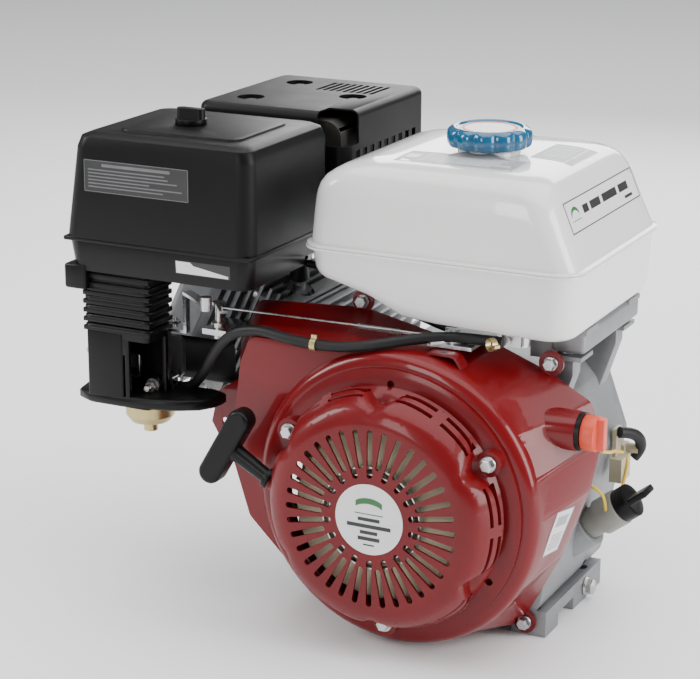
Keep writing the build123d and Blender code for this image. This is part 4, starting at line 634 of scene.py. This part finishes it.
def build_hardware():
    """All visible bolts and nuts, one piece for each group."""
    ears = [((x, -64.6, z), (0, -1, 0)) for x, z in ((-64, 283), (111, 251), (94, 13))]
    grow("cover_bolts", ears, HEX_BOLT, {"Flange Radius": 0.0064}, "plated_zinc", "engine", "zinc", ("small_bolts",))
    starter = [((lug(a)[0], -150.2, lug(a)[1]), (0, -1, 0)) for a in (30, 150, 270)]
    grow("starter_bolts", starter, HEX_BOLT, {"Flange Radius": 0.0071, "Shank": 0.012}, "plated_zinc", "engine",
         "zinc")
    tank_studs = [((115, y, 250 - 2.2), (0, 0, -1)) for y in (-35, 72)]
    grow("tank_nuts", tank_studs, HEX_BOLT, {"Across Flats": 0.012, "Head Height": 0.007, "Flange Radius": 0.0085,
                                             "Stud Radius": 0.0039, "Stud Out": 0.006}, "plated_zinc", "engine",
         "zinc")
    heads = [((115, y, 254.1), (0, 0, 1)) for y in (-35, 72)]
    grow("tank_bolts", heads, HEX_BOLT, {"Across Flats": 0.012, "Head Height": 0.007, "Flange Radius": 0.0085,
                                         "Stud Radius": 0.0039}, "plated_zinc", "engine", "zinc")
    studs = [((x, -112.2, z), (0, -1, 0)) for x, z in ((-308.5, 221), (-249, 193))]
    grow("carb_nuts", studs, HEX_BOLT, {"Across Flats": 0.0105, "Head Height": 0.0065, "Flange Radius": 0.0072,
                                        "Stud Radius": 0.003, "Stud Out": 0.0055, "Shank": 0.040}, "plated_zinc",
         "engine", "zinc")
    guard = [((x, y, 421.1), (0, 0, 1)) for x, y in ((-240, 56), (-156, 100), (-236, 146))]
    grow("guard_bolts", guard, HEX_BOLT, {"Head Height": 0.0045, "Flange Radius": 0.0068}, "guard_black", "engine",
         "zinc")
    grow("lever_nut", [((36, -92, 270.8), (0, 0, 1))], HEX_BOLT,
         {"Across Flats": 0.012, "Head Height": 0.004, "Flange Radius": 0.0065, "Stud Radius": 0.004,
          "Stud Out": 0.003}, "plated_zinc", "engine", "zinc")
    drains = [((s * 112.1, 38, 11.5), (s, 0, 0)) for s in (-1, 1)]
    grow("drain_bolts", drains, HEX_BOLT, {"Across Flats": 0.013, "Head Height": 0.008, "Flange Radius": 0.0085,
                                           "Stud Radius": 0.0059, "Shank": 0.010}, "plated_zinc", "engine", "zinc")
    flange = [((-215.6 + s, 74.2, 229), (0, 1, 0)) for s in (-24, 24)]
    grow("exhaust_nuts", flange, HEX_BOLT, {"Across Flats": 0.012, "Head Height": 0.007, "Flange Radius": 0.008,
                                            "Stud Radius": 0.0039, "Stud Out": 0.004}, "plated_zinc", "engine",
         "zinc")


build_hardware()


# ---- fuel tank and cap -----------------------------------------------------------------------
TANK_TOP_RINGS = [(339.6, -100, 144, -108, 109, 22), (343, -99.8, 142.4, -107.8, 108.9, 22),
                  (352, -99.1, 138.2, -107.2, 108.5, 22), (364, -98.1, 132.8, -106.4, 108.1, 22),
                  (376, -97.0, 127.6, -105.6, 107.6, 22), (385, -95.8, 123.9, -104.8, 107.1, 22.5),
                  (391.5, -93.6, 121.0, -103.4, 106.2, 23), (397, -89.8, 118.2, -101.4, 104.6, 24),
                  (401.8, -83.2, 115.0, -98.4, 102.2, 25), (405.8, -76, 110.8, -94.2, 98.4, 25),
                  (408.8, -66.4, 105, -88.4, 93, 24.5), (410.9, -54, 97.2, -80.6, 85.6, 24),
                  (412.2, -38, 86.8, -70, 75, 23), (412.9, -16, 70, -52, 57, 22), (413.2, 4, 52, -32, 36, 15)]
TANK_UNDER = [(-97, 312.5), (-90, 311), (-80, 309), (-63, 306.5), (-47, 302.5), (-36, 297), (-22, 289),
              (-8, 284), (10, 282.2), (60, 281), (128, 279.4), (144, 280)]


def under_height(x):
    """Height of the tank's stepped underside at x."""
    for (x0, z0), (x1, z1) in zip(TANK_UNDER, TANK_UNDER[1:]):
        if x <= x1:
            return z0 + (z1 - z0) * max(0.0, x - x0) / (x1 - x0)
    return TANK_UNDER[-1][1]


def build_tank():
    """Upper and lower pressings, the two lips of the seam and the filler neck."""
    bm = bmesh.new()
    skin(bm, [[(p.x, p.y, z) for p in ring_points(x0, x1, y0, y1, r)] for z, x0, x1, y0, y1, r in TANK_TOP_RINGS])
    rings = []
    for t, inset, r in ((0, 0, 26), (0.25, 0.7, 26), (0.5, 1.5, 25.5), (0.74, 2.5, 25), (0.87, 3.6, 24.5),
                        (0.94, 5.2, 24), (0.98, 7.6, 23), (1.0, 11, 21), (1.0, 24, 14), (1.0, 48, 9), (1.0, 78, 5),
                        (1.0, 100, 2)):
        outline = ring_points(-100 + inset * 0.9, 144 - inset, -108 + inset, 109 - inset, min(r, 23))
        rings.append([(p.x, p.y, 337 - t * (337 - under_height(p.x))) for p in outline])
    skin(bm, rings)
    for lower, upper, grow in ((335.7, 338.0, 0.0), (338.15, 340.5, -0.7)):
        lip = []
        for z, g in ((lower, -8), (lower, -0.9), (lower + 0.35, -0.2), ((lower + upper) / 2, 0), (upper - 0.35, -0.2),
                     (upper, -0.9), (upper + 0.1, -3.2), (upper + 0.5, -5.5), (upper + 0.6, -8)):
            lip.append([(p.x, p.y, z) for p in ring_points(-104.5 - g - grow, 148 + g + grow, -112 - g - grow,
                                                           113 + g + grow, 24)])
        skin(bm, lip)
    lathe(bm, [(0, 24), (12.5, 24), (13.4, 24.8), (13.4, 26.2), (12.5, 27), (3, 27.4), (1.2, 30), (0, 36)],
          (0, 0, 1), (*FILLER, 404), 72)
    return add_piece("tank_shell", closed_mesh("tank_shell", bm), "tank_white", "engine",
                     ("fuel_tank",), 38)


tank = build_tank()


def build_cap():
    """Cap with twelve lobes, a sunk disc and a thin ring printed on it."""
    bm = bmesh.new()
    def lobes(a, h, r):
        share = {419.4: 0.5, 421: 1, 424: 1, 428: 1, 431: 1, 433.2: 0.85, 434.6: 0.55}.get(round(h, 1), 0)
        return share * (-2.6 + 3.9 * abs(math.cos(6 * a)) ** 0.6)
    lathe(bm, [(402, 0), (402, 20), (403, 21), (418.6, 21), (419.0, 31.5), (419.4, 34.2), (421, 35.0),
               (424, 35.4), (428, 35.4), (431, 35.1), (433.2, 34.2), (434.6, 32.8), (435.6, 30.6), (435.8, 29.2),
               (435.2, 28.2), (434.0, 27.6), (433.6, 26.8), (433.6, 0)],
          (0, 0, 1), (*FILLER, 0), 180, lobes)
    add_piece("cap_shell", closed_mesh("cap_shell", bm), "cap_blue", "tank_cap", ("fuel_cap",), 50)
    bm = bmesh.new()
    lathe(bm, [(433.4, 0), (433.4, 25.6), (433.9, 26.2), (434.2, 25.8), (434.3, 0)], (0, 0, 1), (*FILLER, 0), 72)
    add_piece("cap_disc", closed_mesh("cap_disc", bm), "label_white", "tank_cap")
    bm = bmesh.new()
    lathe(bm, [(434.2, 21.6), (434.5, 21.8), (434.5, 24.0), (434.2, 24.2)], (0, 0, 1), (*FILLER, 0), 72)
    add_piece("cap_ring", closed_mesh("cap_ring", bm), "knob_orange", "tank_cap")


build_cap()

# ---- black box, guard and castings from their CAD shapes -----------------------------------------
lid = soften("air_cover", "air_lid", 0.0024, segments=3)
soften("air_knob", "air_wing_nut", 0.0009)
base = soften("air_base", "engine", 0.0012)
soften("muffler_guard", "engine", 0.0006, segments=1)
shroud = soften("fan_cover", "engine", 0.0022, segments=3)
soften("pull_handle", "handle", 0.0014, segments=3)
soften("crankcase", "engine", 0.0009)
soften("side_cover", "engine", 0.0010)
soften("cylinder_head", "engine", 0.0005)
soften("rocker_cover", "engine", 0.0016)
soften("intake_elbow", "engine", 0.0014, floor=178)
soften("tank_brackets", "engine", 0.0008, finish="cast_grey")
soften("switch_knob", "switch_turner", 0.0012)
soften("dipstick", "oil_dipstick", 0.0008)
soften("oil_filler", "engine", 0.0008)


def rounded_block(bm, x, y, z, r, steps=3):
    """Block in millimetres with rounded edges."""
    lo, hi = Vector((x[0], y[0], z[0])) * MM, Vector((x[1], y[1], z[1])) * MM
    made = bmesh.ops.create_cube(bm, size=1.0, matrix=Matrix.Translation((lo + hi) / 2) @ Matrix.Diagonal(
        (*(hi - lo), 1)))
    edges = list({e for v in made["verts"] for e in v.link_edges})
    bmesh.ops.bevel(bm, geom=edges, offset=r * MM, segments=steps, profile=0.5, affect="EDGES", clamp_overlap=True)


def strip(bm, line, half, thick, across):
    """Bent strip of sheet: a line of points, swept by half either way along across, thick in its own plane."""
    across = Vector(across).normalized()
    pts = [Vector(p) for p in line]
    rows = []
    for k, p in enumerate(pts):
        run = (pts[min(k + 1, len(pts) - 1)] - pts[max(k - 1, 0)]).normalized()
        out = run.cross(across).normalized() * (thick / 2)
        rows.append([bm.verts.new((p + across * a * half + out * b) * MM)
                     for a, b in ((-1, -1), (1, -1), (1, 1), (-1, 1))])
    for a, b in zip(rows, rows[1:]):
        for k in range(4):
            m = (k + 1) % 4
            bm.faces.new((a[k], a[m], b[m], b[k]))
    bm.faces.new(list(reversed(rows[0])))
    bm.faces.new(rows[-1])


# ---- starter cover with scooped lugs ----------------------------------------------------------------
def build_starter():
    """Slotted cover whose side wall is drawn in round each of its six screw seats."""
    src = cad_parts["recoil_cover"]
    bm = bmesh.new()
    bm.from_mesh(src.data)
    bmesh.ops.remove_doubles(bm, verts=bm.verts, dist=WELD)
    bmesh.ops.dissolve_limit(bm, angle_limit=math.radians(0.6), verts=bm.verts, edges=bm.edges)
    bmesh.ops.triangulate(bm, faces=bm.faces)
    for limit in (0.016, 0.009, 0.006):
        long_ones = [e for e in bm.edges if e.calc_length() > limit and min(v.co.y for v in e.verts) > -0.1815
                     and max(math.hypot(v.co.x, v.co.z - CRANK_Z * MM) for v in e.verts) > 0.084]
        bmesh.ops.subdivide_edges(bm, edges=long_ones, cuts=1)
        bmesh.ops.triangulate(bm, faces=bm.faces)
    for v in bm.verts:
        x, y, z = v.co.x, v.co.y, v.co.z - CRANK_Z * MM
        r, a = math.hypot(x, z), math.degrees(math.atan2(z, x))
        if r < 0.083 or y > -0.1502 or y < -0.1812:
            continue
        off = ((a - 30 + 30) % 60) - 30
        climb = (-y - 0.1502) / 0.031
        pull = math.exp(-(off / (7.5 * (1.15 - 0.75 * climb))) ** 2) * (1 - climb) ** 0.7
        spread = 0.0085 * (1 - climb) ** 0.8 * min(1.0, max(0.0, (r - 0.083) / 0.006))
        scale = (r + spread * (1 - pull) - 0.0085 * pull) / r
        v.co.x, v.co.z = x * scale, CRANK_Z * MM + z * scale
    mesh = closed_mesh("starter_shell", bm)
    return add_piece("starter_shell", mesh, "starter_red", "engine", ("recoil_cover",), 36)


starter = build_starter()


def build_sticker():
    """Round label at the middle of the starter cover, with plain marks."""
    bm = bmesh.new()
    lathe(bm, [(0, 0), (0, 30.6), (0.35, 30.9), (0.6, 30.6), (0.7, 0)], (0, -1, 0), (0, -182.3, CRANK_Z), 96)
    disc = add_piece("centre_disc", closed_mesh("centre_disc", bm), "label_white", "engine")
    arch = []
    for k in range(9):
        a0, a1 = (math.radians(150 - 120 * (k + e) / 9) for e in (0, 1))
        arch.append((((14 * math.cos(a0)), 9 + 7 * math.sin(a0) - 2), (14 * math.cos(a1), 9 + 7 * math.sin(a1) - 2),
                     (14 * math.cos(a1), 9 + 7 * math.sin(a1) + 3), (14 * math.cos(a0), 9 + 7 * math.sin(a0) + 3),
                     1, 0.2))
    art = [*arch, (-13, 4.5, 13, 5.3, 1, 0.2), (-10, -1.5, 10, 1.5, 2, 0.2), (-20, -7.5, 20, -4.2, 2, 0.2),
           (-8, -13, 8, -10, 2, 0.2), (-10, -18.6, 10, -15.4, 2, 0.2), (-5, -23, 5, -21.8, 2, 0.2)]
    plate("centre_print", disc, (0, -183.0, CRANK_Z), (1, 0, 0), (0, 0, 1), (0, 1, 0), art,
          ("label_white", "label_green", "label_ink"), "engine")


build_sticker()


# ---- labels, all generic --------------------------------------------------------------------------------
def build_labels():
    """Plain plates with bars in the place of print."""
    side = framed(163, 27, 0, 1, 0.9)
    for k in range(7):
        a0, a1 = (math.radians(160 - 140 * (k + e) / 7) for e in (0, 1))
        side.append(((9 * math.cos(a0) - 64, 8 * math.sin(a0) - 3.5), (9 * math.cos(a1) - 64, 8 * math.sin(a1) - 3.5),
                     (9 * math.cos(a1) - 64, 8 * math.sin(a1) - 0.5), (9 * math.cos(a0) - 64, 8 * math.sin(a0) - 0.5),
                     2, 0.3))
    side += [(-74, -4.4, -54, -3.8, 2, 0.3), (-46, -2, -34, 5, 1, 0.3), (-29, -2, -6, 5, 1, 0.3),
             (0, -2, 34, 5, 1, 0.3), (40, -2, 62, 5, 1, 0.3), (48, -9, 66, -6.5, 1, 0.3)]
    plate("tank_side_label", tank, (126.2, 4.5, 378.5), (0, 1, 0), (-0.395, 0, 0.919), (-0.919, 0, -0.395), side,
          ("label_white", "label_ink", "label_green"), "engine")
    top = framed(107, 38, 0, 1, 0.7) + text_rows(-34, 48, 14, 8, 3.6, 1.3, 1, 3) + [(-50, -6, -38, 8, 1, 0.28)]
    plate("tank_top_label", tank, (20.5, -52, 414), (1, 0, 0), (0, 1, 0), (0, 0, -1), top,
          ("label_grey", "label_white"), "engine")
    small = framed(38, 62, 0, 1, 0.7) + text_rows(-15, 15, 24, 9, 5.4, 1.6, 1, 5)
    plate("tank_end_label", tank, (86, 18, 414), (1, 0, 0), (0, 1, 0), (0, 0, -1), small,
          ("label_grey", "label_white"), "engine")
    plate("tank_rear_label", tank, (62, 78, 414), (1, 0, 0), (0, 1, 0), (0, 0, -1), [(-25, -9, 25, 9, 0, 0.15)],
          ("label_grey",), "engine")
    front = framed(104, 28, 0, 1, 0.6) + [(-34, 8.6, 34, 11.2, 1, 0.3)]
    front += text_rows(-48, 46, 6.2, 6, 3.0, 1.1, 1, 9, 0.4)
    plate("box_front_label", lid, (-240, -149, 388), (1, 0, 0), (0, 0, 1), (0, 1, 0), front,
          ("label_ink", "label_fade"), "air_lid")
    gauge = [(-27, -6, 27, 6, 0, 0.15), ((-26, -5.2), (25, -5.2), (25, -3.2), (-26, 5.2), 1, 0.3),
             ((-26, 5.2), (-12, 5.2), (-8, 1.5), (-26, 1.5), 1, 0.32)]
    plate("box_gauge_label", base, (-177, -149, 316), (1, 0, 0), (0, 0, 1), (0, 1, 0), gauge,
          ("label_ink", "label_white"), "engine")
    tag = framed(26, 44, 0, 1, 0.7) + text_rows(-9, 9, -2, 6, 2.8, 1.2, 1, 4) + [(-8, 6, 8, 16, 1, 0.3)]
    plate("cover_tag", shroud, (135, -92, 113), (-0.32, -0.94, 0.1), (0.33, 0.02, 0.94), (-0.93, 0.13, 0.34), tag,
          ("label_white", "label_grey"), "engine")


build_labels()


# ---- small sheet and moulded details -----------------------------------------------------------------------
def build_details():
    """Bridge, lip, bellows, tray, plate, saddle and bosses that the CAD shapes leave plain."""
    bm = bmesh.new()  # raised bridge on top of the fan cover
    strip(bm, [(13, -112, 252), (16, -112, 254), (19, -112, 258.5), (22, -112, 261.8), (26, -112, 262.6),
               (42, -112, 262.6), (46, -112, 261.8), (49, -112, 258), (53, -112, 252)], 7, 2.2, (0, 1, 0))
    add_piece("cover_bridge", closed_mesh("cover_bridge", bm), "shroud_red", "engine", smooth=60)
    bm = bmesh.new()
    lathe(bm, [(0, 0), (0, 3.2), (0.4, 3.5), (0.5, 0)], (0, 0, 1), (34, -112, 263.5), 32)
    add_piece("bridge_eye", closed_mesh("bridge_eye", bm), "label_ink", "engine")
    bm = bmesh.new()  # leg and lower lip of the air box base
    rounded_block(bm, (-318, -296), (-146, -116), (283.5, 306), 2.5)
    rounded_block(bm, (-316.6, -130.0), (-147.0, 1.6), (327.5, 331.4), 1.0)
    add_piece("box_lip", closed_mesh("box_lip", bm), "moulded_black", "engine", smooth=40)
    bm = bmesh.new()  # bellows of the intake elbow
    for k in range(5):
        z = 250 + 8.6 * k
        skin(bm, [[(p.x, p.y, z + dz) for p in ring_points(-303 - g, -234 + g, -141 - g, -101.5 + g, 9)]
                  for dz, g in ((-3.0, -3.2), (-2.2, -0.8), (-0.9, 0.5), (0.9, 0.5), (2.2, -0.8), (3.0, -3.2))])
    add_piece("elbow_bellows", closed_mesh("elbow_bellows", bm), "moulded_black", "engine",
              smooth=60)
    bm = bmesh.new()  # rounded tray below the elbow
    outline = [(-318, -84), (-320, -110), (-316, -130), (-301, -138), (-268, -140), (-240, -138), (-214, -131),
               (-196, -121), (-187, -107), (-186, -92), (-200, -86)]
    rows = []
    for z, g in ((177.5, -4), (178.2, -1.4), (180, 0), (186, 0), (188, -1.4), (188.6, -4)):
        cx, cy = -252, -104
        rows.append([(x + (cx - x) * -g / 60, y + (cy - y) * -g / 26, z + (x + 252) * 0.02) for x, y in outline])
    skin(bm, rows)
    bmesh.ops.subdivide_edges(bm, edges=bm.edges[:], cuts=1, use_grid_fill=True)
    add_piece("elbow_tray", closed_mesh("elbow_tray", bm), "moulded_black", "engine", smooth=60)
    bm = bmesh.new()  # plate that closes the elbow's left side, above the tray
    rounded_block(bm, (-301, -264), (-139, -131), (184, 247), 2.2)
    add_piece("elbow_plate", closed_mesh("elbow_plate", bm), "moulded_black", "engine", smooth=40)
    bm = bmesh.new()  # cast saddle between the tank and the crankcase
    rounded_block(bm, (104, 135), (-50, 88), (257, 278), 4)
    add_piece("tank_saddle", closed_mesh("tank_saddle", bm), "cast_grey", "engine", smooth=40)
    bm = bmesh.new()
    for x, z in ((-308.5, 221), (-249, 193)):
        lathe(bm, [(0, 0), (0, 8.6), (10, 8.6), (11.4, 7.6), (11.6, 0)], (0, -1, 0), (x, -100.5, z), 40)
    add_piece("elbow_bosses", closed_mesh("elbow_bosses", bm), "moulded_black", "engine")


build_details()


# ---- hoses, rods and wires -----------------------------------------------------------------------------------
def build_lines():
    """Fuel line, plug lead, control rods, spring and wires."""
    strand("fuel_line", [(-251.7, -82, 185.4), (-228, -88, 185.4), (-205, -102, 204), (-182, -118, 236),
                         (-160, -124, 258), (-132, -127, 265), (-104, -132.5, 262), (-74, -132.5, 260),
                         (-44, -132.5, 262), (-18, -128, 267), (8, -113, 271.5), (30, -100, 273), (58, -94, 272.8),
                         (78.6, -92.8, 272.6)], 4.6, "black_rubber", "engine", ("fuel_hose",))
    strand("plug_lead", [(-141.2, -19, 297), (-118, -26, 298), (-88, -38, 292), (-50, -47, 281), (-5, -50.5, 268),
                         (40, -50.5, 258), (68, -52, 248), (82, -64, 238), (86, -77, 229)], 3.5, "black_rubber",
           "engine", ("ht_lead",))
    strand("link_rod", [(-184, -100, 266), (-184, -100, 270.2), (-182, -100, 271), (-110, -102, 272), (-20, -104, 273.4),
                        (14, -105, 274), (20, -105, 274), (22, -105, 272), (21, -105.5, 268), (24, -106, 266.5)], 1.0,
           "plated_zinc", "engine", ("governor_rod",))
    strand("link_spring", [(-187, -97, 270.2), (-110, -98, 270.6), (-30, -100, 271), (22, -101, 271.2)], 0.6,
           "plated_zinc", "engine", ("governor_spring",))
    grow("spring_coil", [((-52, -99.4, 270.9), (1, -0.01, 0.003))], COIL_SPRING,
         {"Turns": 26.0, "Radius": 0.0022, "Length": 0.040, "Wire Radius": 0.00045}, "plated_zinc", "engine", "zinc",
         smooth=60)
    strand("wire_switch", [(150, -62, 186), (152, -48, 174), (151, -18, 164), (144, 8, 156), (140, 30, 148),
                           (139.5, 46, 142)], 1.5, "wire_yellow", "engine", ("switch_wire",))
    strand("wire_case", [(128, -10, 128), (136, -12, 127), (141, -4, 118), (140, 5, 100), (139, 16, 92),
                         (140, 34, 98), (141, 52, 116), (140, 60, 128), (139, 60, 134)], 1.5, "wire_yellow", "engine")
    strand("boot", [(134, 52, 158), (142, 62, 156), (147, 72, 148), (146, 78, 136), (140, 76, 128)], 5.2,
           "black_rubber", "engine")


build_lines()

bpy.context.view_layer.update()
